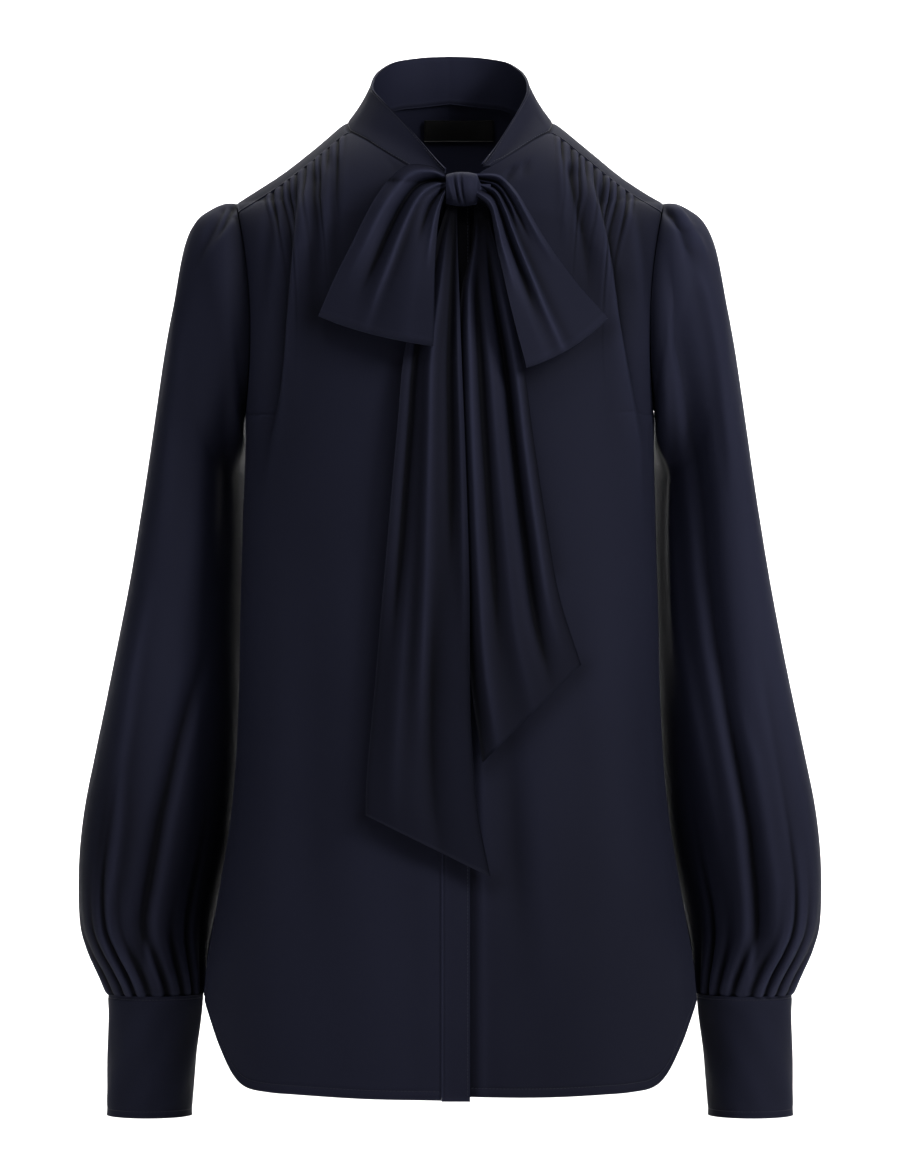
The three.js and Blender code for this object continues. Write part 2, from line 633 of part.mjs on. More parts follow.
function gatherLift(across, below) {
  const { from, wave, count, height, fade, softHeight, softFade } = frontGathers;
  const n = (Math.abs(across) * armholeTopX - from) / wave;
  if (n < 0 || n > count) return 0;
  const ends = ease(0, 0.5, n) * ease(0, 0.5, count - n);
  const uneven = 0.8 + 0.3 * Math.sin(2.3 * n + 1);
  const tight = height * uneven * Math.cos(2 * Math.PI * n) * Math.exp(-below / fade);
  const soft = softHeight * Math.cos(0.8 * Math.PI * n) * Math.exp(-below / softFade) * ease(0, 20, below);
  return ends * (tight + soft);
}

function frontPanel(side) {
  const folds = side === RIGHT ? rightFrontFolds : leftFrontFolds;
  const lift = (across, x, z, below) => {
    const folded = foldLift(folds, x, z) * ease(0, 25, below);
    if (side === RIGHT) return folded + gatherLift(across, below);
    const tuck = tuckDepth * (1 - ease(tuckUntil, tuckUntil + tuckFade, x));
    return folded + gatherLift(across, below) - tuck;
  };
  const rows = panelRows({
    face: FRONT,
    side,
    topAt: frontTopAt,
    topStep: yokeFrontStep,
    looseAcross: frontLoose(side),
    fineAcross: frontFine(side),
    lift,
  });
  if (side === LEFT) {
    for (const spot of rows[rows.length - 1]) {
      spot.p.z += underHemLift * Math.exp(-((spot.p.x / 60) ** 2));
    }
  }
  return clothWall(rows, clothThickness);
}

function placketBand() {
  const rows = [];
  for (let r = 0; r <= placketRows; r += 1) {
    const share = (r / placketRows) ** closerAtTop;
    const row = placketXs.map((x, i) => {
      const z = mix(neckline(x, 'z') - seamGap / 2, hem(0, 'z'), share);
      const n = torsoNormal(x, z, FRONT);
      return { u: i, p: torsoPoint(x, z, FRONT).addScaledVector(n, placketProud), n };
    });
    rows.push(row);
  }
  return clothWall(rows, bandThickness);
}

function backPanel() {
  const { from, wave, count, height, fade } = backGathers;
  const mirrored = (list) => list.slice().reverse().map((across) => -across);
  const fine = mirrored(backOuterColumns);
  for (let q = 0; q <= count * 4; q += 1) fine.push((from + q * wave / 4) / armholeTopX);
  fine.push(...backOuterColumns);
  const lift = (across, x, z, below) => {
    const n = (across * armholeTopX - from) / wave;
    const inside = n > 0 && n < count;
    const ends = inside ? ease(0, 0.5, n) * ease(0, 0.5, count - n) : 0;
    const gathered = ends * height * Math.cos(2 * Math.PI * n) * Math.exp(-Math.max(below, 0) / fade);
    return gathered + foldLift(backFolds, x, z) * ease(0, 25, below);
  };
  const rows = panelRows({
    face: BACK,
    side: LEFT,
    topAt: () => armholePoint(stepAngle(yokeBackStep), BACK, 1).z,
    topStep: yokeBackStep,
    looseAcross: [...mirrored(backColumns), 0, ...backColumns],
    fineAcross: fine,
    lift,
  });
  return clothWall(rows, clothThickness);
}

// A point of the shoulder by distance from the middle and drop from the ridge
function shoulderSpot(x, drop, side) {
  const face = drop > 0 ? BACK : FRONT;
  const z = ridge(x, face === FRONT ? 'front' : 'back') - Math.abs(drop);
  return { p: torsoPoint(side * x, z, face), n: torsoNormal(side * x, z, face) };
}

function yokePiece() {
  const outer = [];
  const backZ = armholePoint(stepAngle(yokeBackStep), BACK, 1).z;
  const backEdge = edgeAt(backZ, BACK);
  for (let turn = 0; turn <= neckCornerTurn; turn += 1) {
    if (turn <= yokeBackTurns) {
      const x = backEdge * Math.sin(turn / yokeBackTurns * Math.PI / 2);
      outer.push({ x, drop: ridge(x, 'back') - backZ });
    } else {
      const step = yokeBackStep - (turn - yokeBackTurns);
      const edge = armholePoint(stepAngle(Math.abs(step)), step > 0 ? BACK : FRONT, 1);
      outer.push({ x: edge.x, drop: Math.sign(step) * (ridge(edge.x, 'back') - edge.z) });
    }
  }
  const halfRow = (share, side) => outer.map((end, turn) => {
    const x = mix(neck(turn, 'x'), end.x, share);
    const drop = mix(neck(turn, 'drop'), end.drop, share);
    return shoulderSpot(x, drop, side);
  });
  const rows = [];
  for (let r = 0; r <= yokeRows; r += 1) {
    const share = r / yokeRows;
    const right = halfRow(share, RIGHT).reverse();
    const left = halfRow(share, LEFT).slice(1);
    rows.push([...right, ...left].map((spot, i) => ({ u: i, ...spot })));
  }
  return clothWall(rows, clothThickness);
}

// Seam point and top point of the collar band at a turn of the neck
function collarSpots() {
  const sideSpots = (side) => {
    const top = tableOf(collarTopTable[side], 'turn');
    const spots = [];
    for (let turn = 0; turn <= neckCornerTurn + collarStops[side]; turn += 1) {
      const past = turn - neckCornerTurn;
      const stop = past > 0 ? neckStops[side][past - 1] : 0;
      const seam = past > 0
        ? torsoPoint(side * stop, frontTopAt(stop), FRONT)
        : shoulderSpot(neck(turn, 'x'), neck(turn, 'drop'), side).p;
      spots.push({ seam, top: new THREE.Vector3(side * top(turn, 'x'), top(turn, 'y'), top(turn, 'z')) });
    }
    return spots;
  };
  return [...sideSpots(RIGHT).reverse(), ...sideSpots(LEFT).slice(1)];
}

function collarBand() {
  const spots = collarSpots();
  const base = spots.map(({ seam, top }) => {
    const up = top.clone().sub(seam);
    const foot = seam.clone().addScaledVector(up.clone().normalize(), collarFootGap);
    return { foot, up: top.clone().sub(foot) };
  });
  const rows = collarRise.map((share) => base.map(({ foot, up }, i) => {
    const before = base[Math.max(i - 1, 0)].foot;
    const after = base[Math.min(i + 1, base.length - 1)].foot;
    const n = up.clone().cross(after.clone().sub(before)).normalize();
    const hollow = collarHollow * Math.sin(Math.PI * share);
    return { u: i, p: foot.clone().addScaledVector(up, share).addScaledVector(n, -hollow), n };
  }));
  return clothWall(rows, bandThickness);
}

// Sleeves

// A place of the sleeve's plain surface, by angle from its outer point round the front
function sleevePlace(side, step, angle) {
  if (step === 0) {
    const around = (angle + 2 * Math.PI) % (2 * Math.PI);
    const face = Math.sin(around) >= 0 ? FRONT : BACK;
    const place = armholePoint(around <= Math.PI ? around : 2 * Math.PI - around, face, side);
    place.x += side * armholeClearance;
    return place;
  }
  const outX = sleeve(step, 'outX');
  const outZ = sleeve(step, 'outZ');
  const inX = sleeve(step, 'inX');
  const inZ = sleeve(step, 'inZ');
  const swing = sleeveSwing.most * ease(sleeveSwing.from, sleeveSwing.full, step)
    - (sleeveSwing.most - sleeveSwing.atCuff) * ease(sleeveSwing.fadeFrom, sleeveEnd, step);
  const outward = Math.sqrt(((outX - inX) / 2) ** 2 - swing ** 2);
  const back = sleeveHang.back * ease(sleeveHang.from, sleeveHang.full, step);
  return new THREE.Vector3(
    side * ((outX + inX) / 2 + outward * Math.cos(angle) + swing * Math.sin(angle)),
    back - sleeve(step, 'deep') * Math.sin(angle),
    (outZ + inZ) / 2 + (outZ - inZ) / 2 * Math.cos(angle),
  );
}

// The way out of the sleeve's surface, from the places round it and along it. It is level
// where the sleeve meets the cuff
function sleeveNormal(side, step, angle) {
  const turn = 0.02;
  const along = 0.2;
  const round = sleevePlace(side, step, angle + turn).sub(sleevePlace(side, step, angle - turn));
  const down = step === 0
    ? sleevePlace(side, 1, angle).sub(sleevePlace(side, 0, angle))
    : sleevePlace(side, step + along, angle).sub(sleevePlace(side, step - along, angle));
  const n = round.cross(down).multiplyScalar(side).normalize();
  n.z *= 1 - ease(sleeveEnd - 2, sleeveEnd, step);
  return n.normalize();
}

function sleeveSpot(side, step, angle, folds) {
  const p = sleevePlace(side, step, angle);
  const n = sleeveNormal(side, step, angle);
  if (step === 0) return { u: angle / (2 * Math.PI), p, n };
  const { count, height, bulge, bulgeAt, fade } = cuffGathers;
  const above = p.z - sleeve(sleeveEnd, 'outZ');
  const wave = Math.cos(count * angle + 0.6 * Math.sin(3 * angle));
  const swell = mix(height, bulge, ease(0, bulgeAt, above)) * ease(0, fade - bulgeAt, fade - above);
  const facing = ease(0, 0.3, Math.abs(Math.sin(angle)));
  const table = Math.sin(angle) >= 0 ? folds : sleeveBackFolds.map((fold) => ({
    ...fold, xTop: side * fold.xTop, xMid: side * fold.xMid, xLow: side * fold.xLow,
  }));
  const settled = ease(0, 1, step) * ease(0, 2, sleeveEnd - step);
  const lift = wave * swell + foldLift(table, p.x, p.z) * facing * settled;
  return { u: angle / (2 * Math.PI), p: p.addScaledVector(n, lift), n };
}

function sleevePiece(side) {
  const folds = side === RIGHT ? rightSleeveFolds : leftSleeveFolds;
  const ring = (step, columns) => {
    const spots = [];
    for (let c = 0; c < columns; c += 1) {
      spots.push(sleeveSpot(side, step, c / columns * 2 * Math.PI, folds));
    }
    return spots;
  };
  const rows = [ring(0, armholeSteps)];
  for (const step of sleeveLooseSteps) rows.push(ring(step, sleeveColumns));
  for (const step of sleeveGatherSteps) rows.push(ring(step, cuffGathers.count * 4));
  return clothWall(rows, clothThickness, true);
}

// Cuffs

function cuffSpot(side, z, degrees, proud) {
  const angle = THREE.MathUtils.degToRad(degrees);
  const half = (cuff(z, 'outX') - cuff(z, 'inX')) / 2;
  const middle = (cuff(z, 'outX') + cuff(z, 'inX')) / 2;
  const deep = cuff(z, 'deep');
  const n = new THREE.Vector3(side * Math.cos(angle) / half, -Math.sin(angle) / deep, 0).normalize();
  const x = side * (middle + half * Math.cos(angle));
  const p = new THREE.Vector3(x, sleeveHang.back - deep * Math.sin(angle), z);
  return { u: degrees, p: p.addScaledVector(n, proud), n };
}

// The end of the cuff rises to lie over its start
function cuffLift(degrees) {
  const over = cuffStart + 360;
  return (bandThickness + seamGap + 0.1) * ease(over - cuffEase, over - 4, degrees);
}

function cuffPiece(side) {
  const rows = cuffTable.map(({ z }) => {
    const row = [];
    for (let c = 0; c <= cuffColumns; c += 1) {
      const degrees = cuffStart + (360 + cuffOverlap) * c / cuffColumns;
      row.push(cuffSpot(side, z, degrees, cuffLift(degrees)));
    }
    return row;
  });
  return clothWall(rows, bandThickness);
}

function cuffButton(side, z) {
  const proud = cuffLift(buttonTurn + 360) + seamGap + buttonThickness / 2;
  const { p, n } = cuffSpot(side, z, buttonTurn, proud);
  const mesh = new THREE.Mesh(new THREE.CylinderGeometry(buttonRadius, buttonRadius, buttonThickness, 12), trim);
  mesh.position.copy(p);
  mesh.quaternion.setFromUnitVectors(new THREE.Vector3(0, 1, 0), n);
  return mesh;
}

// The tie

function loopPiece(side) {
  const edges = tableOf(loopTable[side], 'along');
  const flat = (along, across) => new THREE.Vector3(
    mix(edges(along, 'upX'), edges(along, 'lowX'), across),
    0,
    mix(edges(along, 'upZ'), edges(along, 'lowZ'), across),
  );
  const pleat = (along, across) => loopPleats.height * Math.exp(-along / loopPleats.fade)
    * Math.cos(2 * Math.PI * loopPleats.count * across);
  const restAt = (along, across) => {
    const spot = flat(along, across);
    const over = loopOverTail.lift * ease(loopOverTail.from, loopOverTail.to, across);
    const rest = torsoDepth(spot.x, Math.min(spot.z, neckline(0, 'z')), FRONT);
    return rest - loopDepth(along, 'lift') - over - tieThickness + pleat(along, across);
  };
  const layerRow = (along, turn) => {
    const row = [];
    for (let c = 0; c <= loopColumns; c += 1) {
      const across = c / loopColumns;
      const spot = flat(along, across);
      const ahead = Math.min(along + loopStep, 1);
      const forward = flat(ahead, across).sub(flat(ahead - loopStep, across));
      forward.normalize();
      const radius = loopDepth(along, 'gap') / 2;
      const n = forward.multiplyScalar(Math.sin(turn));
      n.y = -Math.cos(turn);
      const p = spot.clone();
      p.y = restAt(along, across) - radius;
      const reach = turn > 0 && turn < Math.PI ? n.clone() : new THREE.Vector3(0, -Math.cos(turn), 0);
      row.push({ u: across, p: p.addScaledVector(reach, radius), n });
    }
    return row;
  };
  const rows = loopSpacing.map((along) => layerRow(along, 0));
  for (let t = 1; t <= loopTurns; t += 1) rows.push(layerRow(1, Math.PI * t / (loopTurns + 1)));
  for (const along of loopSpacing.slice().reverse()) rows.push(layerRow(along, Math.PI));
  return clothWall(rows, tieThickness);
}

function tailPiece(side) {
  const edges = tableOf(tailTable[side], 'along');
  const lift = (along, across, z) => {
    const rest = mix(tailLift.near, tailLift.far, ease(tailLift.from, tailLift.to, z));
    let folds = 0;
    for (const fold of tailFolds[side]) {
      const away = (across - fold.across) / fold.width;
      const grown = ease(fold.from - 0.01, fold.from + 0.2, along) * ease(0, 0.2, fold.to - along);
      folds += fold.out * Math.exp(-away * away) * grown;
    }
    return rest + folds * mix(0.35, 1, ease(0, 0.3, along));
  };
  const rows = [];
  for (let r = 0; r <= tailRows; r += 1) {
    const along = (r / tailRows) ** tailCloserAtTop;
    const row = [];
    for (let c = 0; c <= tailColumns; c += 1) {
      const across = c / tailColumns;
      const x = mix(edges(along, 'aX'), edges(along, 'bX'), across);
      const z = mix(edges(along, 'aZ'), edges(along, 'bZ'), across);
      const y = torsoDepth(x, z, FRONT) - lift(along, across, z);
      row.push({ u: across, p: new THREE.Vector3(x, y, z), n: torsoNormal(x, z, FRONT) });
    }
    rows.push(row);
  }
  return clothWall(rows, tieThickness);
}

function knotPiece() {
  const slices = 10;
  const around = 20;
  const positions = [];
  const faces = [];
  for (let s = 0; s <= slices; s += 1) {
    const share = s / slices;
    const x = mix(knot.fromX, knot.toX, share);
    const crown = 0.8 + 0.2 * Math.sin(Math.PI * share) ** 0.6;
    for (let a = 0; a < around; a += 1) {
      const angle = 2 * Math.PI * a / around;
      const slant = share + 0.12 * Math.sin(angle);
      const groove = knot.groove * Math.cos(2 * Math.PI * knot.grooves * slant) * ease(-0.4, 0.2, Math.cos(angle));
      const y = knot.y - (knot.deep * crown + groove) * Math.cos(angle);
      const z = knot.z + knot.tall * crown * Math.sin(angle);
      positions.push(x, y, z);
    }
  }
  for (let s = 0; s < slices; s += 1) {
    for (let a = 0; a < around; a += 1) {
      const next = (a + 1) % around;
      const low = s * around;
      const high = low + around;
      faces.push(low + a, low + next, high + next, low + a, high + next, high + a);
    }
  }
  const ends = [{ start: 0, x: knot.fromX, flip: true }, { start: slices * around, x: knot.toX, flip: false }];
  for (const { start, x, flip } of ends) {
    const centre = positions.push(x, knot.y, knot.z) / 3 - 1;
    for (let a = 0; a < around; a += 1) {
      const next = (a + 1) % around;
      if (flip) faces.push(centre, start + next, start + a);
      else faces.push(centre, start + a, start + next);
    }
  }
  return solidOf(positions, faces);
}

function neckLabel() {
  const rows = [];
  for (const z of [label.toZ, mix(label.toZ, label.fromZ, 0.5), label.fromZ]) {
    const row = [];
    for (let c = 0; c <= 6; c += 1) {
      const x = mix(label.fromX, label.toX, c / 6);
      const n = torsoNormal(x, z, BACK);
      const p = torsoPoint(x, z, BACK).addScaledVector(n, -clothThickness - label.off);
      row.push({ u: c, p, n });
    }
    rows.push(row);
  }
  return clothWall(rows, label.thickness);
}

// The finished blouse

const crepe = (name, color) => new THREE.MeshStandardMaterial({ name, color, roughness: 0.7, metalness: 0 });
const trim = new THREE.MeshStandardMaterial({ name: 'button', color: 0x10121c, roughness: 0.3, metalness: 0 });

const blouse = new THREE.Group();

function addPiece(name, geometry, material) {
  const mesh = new THREE.Mesh(geometry, material);
  mesh.name = name;
  blouse.add(mesh);
}

addPiece('right_front', frontPanel(RIGHT), crepe('front', 0x1a1c27));
addPiece('left_front', frontPanel(LEFT), crepe('front', 0x1a1c27));
addPiece('front_placket', placketBand(), crepe('placket', 0x191b26));
addPiece('back', backPanel(), crepe('back', 0x181a24));
addPiece('yoke', yokePiece(), crepe('yoke', 0x191b25));
addPiece('collar_band', collarBand(), crepe('collar', 0x1c1e2a));
addPiece('sleeve_right', sleevePiece(RIGHT), crepe('sleeve', 0x191b25));
addPiece('sleeve_left', sleevePiece(LEFT), crepe('sleeve', 0x191b25));
addPiece('cuff_right', cuffPiece(RIGHT), crepe('cuff', 0x171923));
addPiece('cuff_left', cuffPiece(LEFT), crepe('cuff', 0x171923));
addPiece('tie_knot', knotPiece(), crepe('tie', 0x1a1c27));
addPiece('tie_loop_right', loopPiece(RIGHT), crepe('tie', 0x1a1c27));
addPiece('tie_loop_left', loopPiece(LEFT), crepe('tie', 0x1a1c27));
addPiece('tie_tail_right', tailPiece(RIGHT), crepe('tie', 0x1a1c27));
addPiece('tie_tail_left', tailPiece(LEFT), crepe('tie', 0x1a1c27));
addPiece('neck_label', neckLabel(), crepe('label', 0x050505));

for (const [side, word] of [[RIGHT, 'right'], [LEFT, 'left']]) {
  buttonZs.forEach((z, i) => {
    const button = cuffButton(side, z);
    button.name = `cuff_button_${word}_${i + 1}`;
    blouse.add(button);
  });
}

export default blouse;
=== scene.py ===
# %% [markdown]
# # A tie neck blouse in dark navy crepe
# The real blouse is thin crepe, cut in flat pieces and sewn: two fronts with a fly front,
# a back, a yoke over the shoulders, full sleeves gathered into deep cuffs, and a neck band
# whose long ends are tied in a bow. The lesson makes each cut piece as one thin sheet.

# %% Load the frame
import math
import bpy
import numpy as np
from mathutils import Matrix, Vector


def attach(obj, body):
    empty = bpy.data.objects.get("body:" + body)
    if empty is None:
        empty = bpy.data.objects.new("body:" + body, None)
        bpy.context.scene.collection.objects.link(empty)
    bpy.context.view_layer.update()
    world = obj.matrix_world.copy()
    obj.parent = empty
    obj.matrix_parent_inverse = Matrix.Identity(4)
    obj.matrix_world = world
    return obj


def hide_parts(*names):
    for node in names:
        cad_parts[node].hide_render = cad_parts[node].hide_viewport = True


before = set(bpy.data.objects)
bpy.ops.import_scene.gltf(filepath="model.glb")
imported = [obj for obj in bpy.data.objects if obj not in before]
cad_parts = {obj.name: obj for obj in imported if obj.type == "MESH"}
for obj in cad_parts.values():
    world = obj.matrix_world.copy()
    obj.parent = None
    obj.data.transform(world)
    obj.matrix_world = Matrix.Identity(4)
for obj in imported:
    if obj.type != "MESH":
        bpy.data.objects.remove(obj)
bpy.context.scene.view_settings.view_transform = "Standard"
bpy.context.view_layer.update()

# %% [markdown]
# ## The camera
# A catalogue photo is taken level, from about four metres, so that the cloth isn't
# distorted. The frame is 666 mm wide at the blouse and looks at the middle of its height.

# %% The camera
MM = 0.001
CAMERA_DISTANCE = 4000
FRAME_HEIGHT = 870.24
VIEW_MIDDLE_Z = -344.8
SENSOR_HEIGHT = 24

camera_data = bpy.data.cameras.new("camera")
camera_data.sensor_fit = "VERTICAL"
camera_data.sensor_height = SENSOR_HEIGHT
camera_data.lens = SENSOR_HEIGHT * CAMERA_DISTANCE / FRAME_HEIGHT
camera = bpy.data.objects.new("camera", camera_data)
bpy.context.scene.collection.objects.link(camera)
camera.location = (0, -CAMERA_DISTANCE * MM, VIEW_MIDDLE_Z * MM)
camera.rotation_euler = (math.pi / 2, 0, 0)
bpy.context.scene.camera = camera
print("lens", round(camera_data.lens, 1), "mm")

# %% [markdown]
# ## Tables and smooth curves
# A pattern cutter writes a garment down as a few measures at a few heights. Each table has
# a row for each height, and a reader gives the smooth value in between. Sizes are in
# millimetres here, as a maker's are, and become metres when a mesh is made.

# %% Reading a table smoothly
FRONT, BACK = -1, 1
RIGHT, LEFT = -1, 1
SIDES = {RIGHT: "right", LEFT: "left"}


def table(columns, rows):
    return [dict(zip(columns.split(), row)) for row in rows]


def mix(a, b, share):
    return a + (b - a) * share


def ease(start, end, value):
    t = np.clip((value - start) / (end - start), 0, 1)
    return t * t * (3 - 2 * t)


def reader(rows, key):
    order = sorted(rows, key=lambda row: row[key])
    at = np.array([row[key] for row in order], float)

    def read(value, column):
        c = np.array([row[column] for row in order], float)
        slope = np.empty_like(c)
        slope[1:-1] = (c[2:] - c[:-2]) / (at[2:] - at[:-2])
        slope[0] = (c[1] - c[0]) / (at[1] - at[0])
        slope[-1] = (c[-1] - c[-2]) / (at[-1] - at[-2])
        v = np.clip(value, at[0], at[-1])
        i = np.clip(np.searchsorted(at, v, side="right") - 1, 0, len(at) - 2)
        span = at[i + 1] - at[i]
        t = (v - at[i]) / span
        rise = t * t * (3 - 2 * t)
        leave = t * (1 - t) ** 2 * span * slope[i]
        reach = t * t * (1 - t) * span * slope[i + 1]
        return mix(c[i], c[i + 1], rise) + leave - reach

    return read


# %% The body's measures
BODY = table("z half front back", [
    (60, 166, 74, 84),
    (0, 166, 84, 92),
    (-60, 166, 95, 101),
    (-100, 163, 104, 106),
    (-140, 160, 111, 109),
    (-180, 156, 116, 109),
    (-218, 151.3, 118, 107),
    (-300, 152.3, 115, 101),
    (-368, 154.3, 113, 98),
    (-428, 155.5, 113, 98),
    (-502, 160.5, 115, 101),
    (-578, 172.5, 118, 105),
    (-631, 181, 120, 108),
    (-720, 184, 122, 110),
])
RIDGE = table("x front back", [
    (0, 8, 60),
    (12.5, 7.8, 58),
    (25, 7.4, 53.5),
    (37, 6.8, 47.5),
    (48, 6, 38.5),
    (58, 4.8, 27.5),
    (66, 3.4, 15.5),
    (71.5, 1.8, 7),
    (76, 0, 0),
    (82, -4, -4),
    (92, -12.4, -12.4),
    (103, -21.5, -21.5),
    (125, -39, -39),
    (146, -52.8, -52.8),
    (158, -60, -60),
    (170, -67, -67),
])
SECTION_POWER = 2.4
RIDGE_Y = 5
SHOULDER_ROUND = 75
ARCH_POWER = 1.7
ARMHOLE_TOP_X = 158
ARMHOLE_LOW_X = 151.3
ARMHOLE_Z = -139
ARMHOLE_HALF = 79
ARMHOLE_SCOOP = {FRONT: 8, BACK: 6}
ARMHOLE_DEPTH = {FRONT: 54, BACK: 52}
ARMHOLE_STEP = 2 * math.pi / 28
ARMPIT_Z = ARMHOLE_Z - ARMHOLE_HALF
MIDDLE_LOW_Z = ARMPIT_Z - 14
CORRECTION_REACH = 45
body = reader(BODY, "z")
ridge = reader(RIDGE, "x")
print("the body is", 2 * max(row["half"] for row in BODY), "mm wide at the hem")

# %% [markdown]
# ## The body's surface
# The fronts, back and yoke are all cut to lie on one rounded surface: an oval section at
# each height, closed over the shoulders by a round ridge. One function gives its depth
# at any place seen from the front or the back, so pieces that share a seam share a curve.

# %% The surface that the panels lie on
def armhole(angle, face):
    down = (1 - np.cos(angle)) / 2
    x = mix(ARMHOLE_TOP_X, ARMHOLE_LOW_X, down) - ARMHOLE_SCOOP[face] * np.sin(angle) ** 2
    y = mix(RIDGE_Y, 0, down) + face * ARMHOLE_DEPTH[face] * np.sin(angle)
    return x, y, ARMHOLE_Z + ARMHOLE_HALF * np.cos(angle)


def armhole_angle(z):
    return np.arccos(np.clip((z - ARMHOLE_Z) / ARMHOLE_HALF, -1, 1))


def edge_at(z, face):
    return np.where(z <= ARMPIT_Z, body(z, "half"), armhole(armhole_angle(z), face)[0])


def plain_depth(x, z, face):
    across = np.minimum(np.abs(x) / body(z, "half"), 1)
    rounding = (1 - across ** SECTION_POWER) ** (1 / SECTION_POWER)
    top = ridge(np.abs(x), "front" if face == FRONT else "back")
    deep = body(z, "front" if face == FRONT else "back")
    drop = np.clip((top - z) / SHOULDER_ROUND, 0, 1)
    arch = (1 - (1 - drop) ** ARCH_POWER) ** (1 / ARCH_POWER)
    return RIDGE_Y + (face * deep * rounding - RIDGE_Y) * arch


def torso_depth(x, z, face):
    edge_x, edge_y, _ = armhole(armhole_angle(z), face)
    near = ease(edge_x - CORRECTION_REACH, edge_x, np.abs(x)) * (z > ARMPIT_Z)
    return plain_depth(x, z, face) + (edge_y - plain_depth(edge_x, z, face)) * near


def torso(x, z, face):
    x, z = np.broadcast_arrays(np.asarray(x, float), np.asarray(z, float))
    return np.stack([x, torso_depth(x, z, face), z], axis=-1)


print("chest depth at the bust", round(float(torso_depth(0, -218, BACK) - torso_depth(0, -218, FRONT))), "mm")

# %% [markdown]
# ## From a grid of points to a sheet of cloth
# Each piece is a grid of points in rows. Its normals come from its neighbours, its second
# skin lies a cloth's thickness inside the first, and a strip closes the edge all round. A
# Solidify modifier could do that, but on tight gathers an own skin keeps out of itself.
# Thin folds are given painted shade: each point keeps how far it lies in a hollow, darker
# there and lighter on a ridge, and how much a neighbouring piece keeps the light off it.

# %% Cloth from a grid
ACROSS_REACHES = (1.5, 3, 7)
DOWN_REACH, DOWN_WEIGHT = 2, 0.8
INSIDE_FOLD_SHADE = 0.5


def normals_of(points, facing, closed=False):
    if closed:
        wrapped = np.concatenate([points[:, -1:], points, points[:, :1]], axis=1)
        across = (wrapped[:, 2:] - wrapped[:, :-2]) / 2
    else:
        across = np.gradient(points, axis=1)
    down = np.gradient(points, axis=0)
    n = np.cross(across, down)
    n /= np.maximum(np.linalg.norm(n, axis=-1, keepdims=True), 1e-9)
    if isinstance(facing, str):
        facing = points - points.mean(axis=1, keepdims=True)
    return n * np.sign(np.sum(n * facing))


def face_grid(rows, columns, closed):
    wide = columns if closed else columns - 1
    r, c = np.meshgrid(np.arange(rows - 1), np.arange(wide), indexing="ij")
    a = r * columns + c
    b = r * columns + (c + 1) % columns
    return np.stack([a, b, b + columns, a + columns], axis=-1).reshape(-1, 4)


def skin_edges(rows, columns, closed):
    top = [(c, (c + 1) % columns) for c in range(columns if closed else columns - 1)]
    low = (rows - 1) * columns
    edges = [(b, a) for a, b in top] + [(a + low, b + low) for a, b in top]
    if not closed:
        edges += [(r * columns, (r + 1) * columns) for r in range(rows - 1)]
        last = columns - 1
        edges += [((r + 1) * columns + last, r * columns + last) for r in range(rows - 1)]
    return np.array(edges)


def lengths_along(points, axis):
    steps = np.linalg.norm(np.diff(points, axis=axis), axis=-1)
    start = np.zeros_like(np.take(steps, [0], axis=axis))
    return np.concatenate([start, np.cumsum(steps, axis=axis)], axis=axis)


def hollow_along_rows(points, normals, closed, reach):
    hollow = np.zeros(points.shape[:2])
    columns = points.shape[1]
    here = slice(columns, 2 * columns) if closed else slice(0, columns)
    for row, ways, deep in zip(points, normals, hollow):
        ring = np.concatenate([row, row, row]) if closed else row
        run = np.concatenate([[0], np.cumsum(np.linalg.norm(np.diff(ring, axis=0), axis=1))])
        before, after = (
            np.stack([np.interp(run[here] + step, run, ring[:, k]) for k in range(3)], axis=-1)
            for step in (-reach, reach)
        )
        span = np.maximum(np.linalg.norm(after - before, axis=1) / 2, reach / 3)
        deep[:] = np.sum(((before + after) / 2 - row) * ways, axis=1) / span
    return hollow


def fold_shade_of(points, normals, closed):
    across = sum(hollow_along_rows(points, normals, closed, reach) for reach in ACROSS_REACHES)
    turned, ways = points.transpose(1, 0, 2), normals.transpose(1, 0, 2)
    down = hollow_along_rows(turned, ways, False, DOWN_REACH).T
    return -(across + DOWN_WEIGHT * down)


def paint_shade(mesh, values):
    layer = mesh.attributes.new("painted_shade", "FLOAT", "POINT")
    layer.data.foreach_set("value", np.clip(values, -1, 1).astype(np.float32))


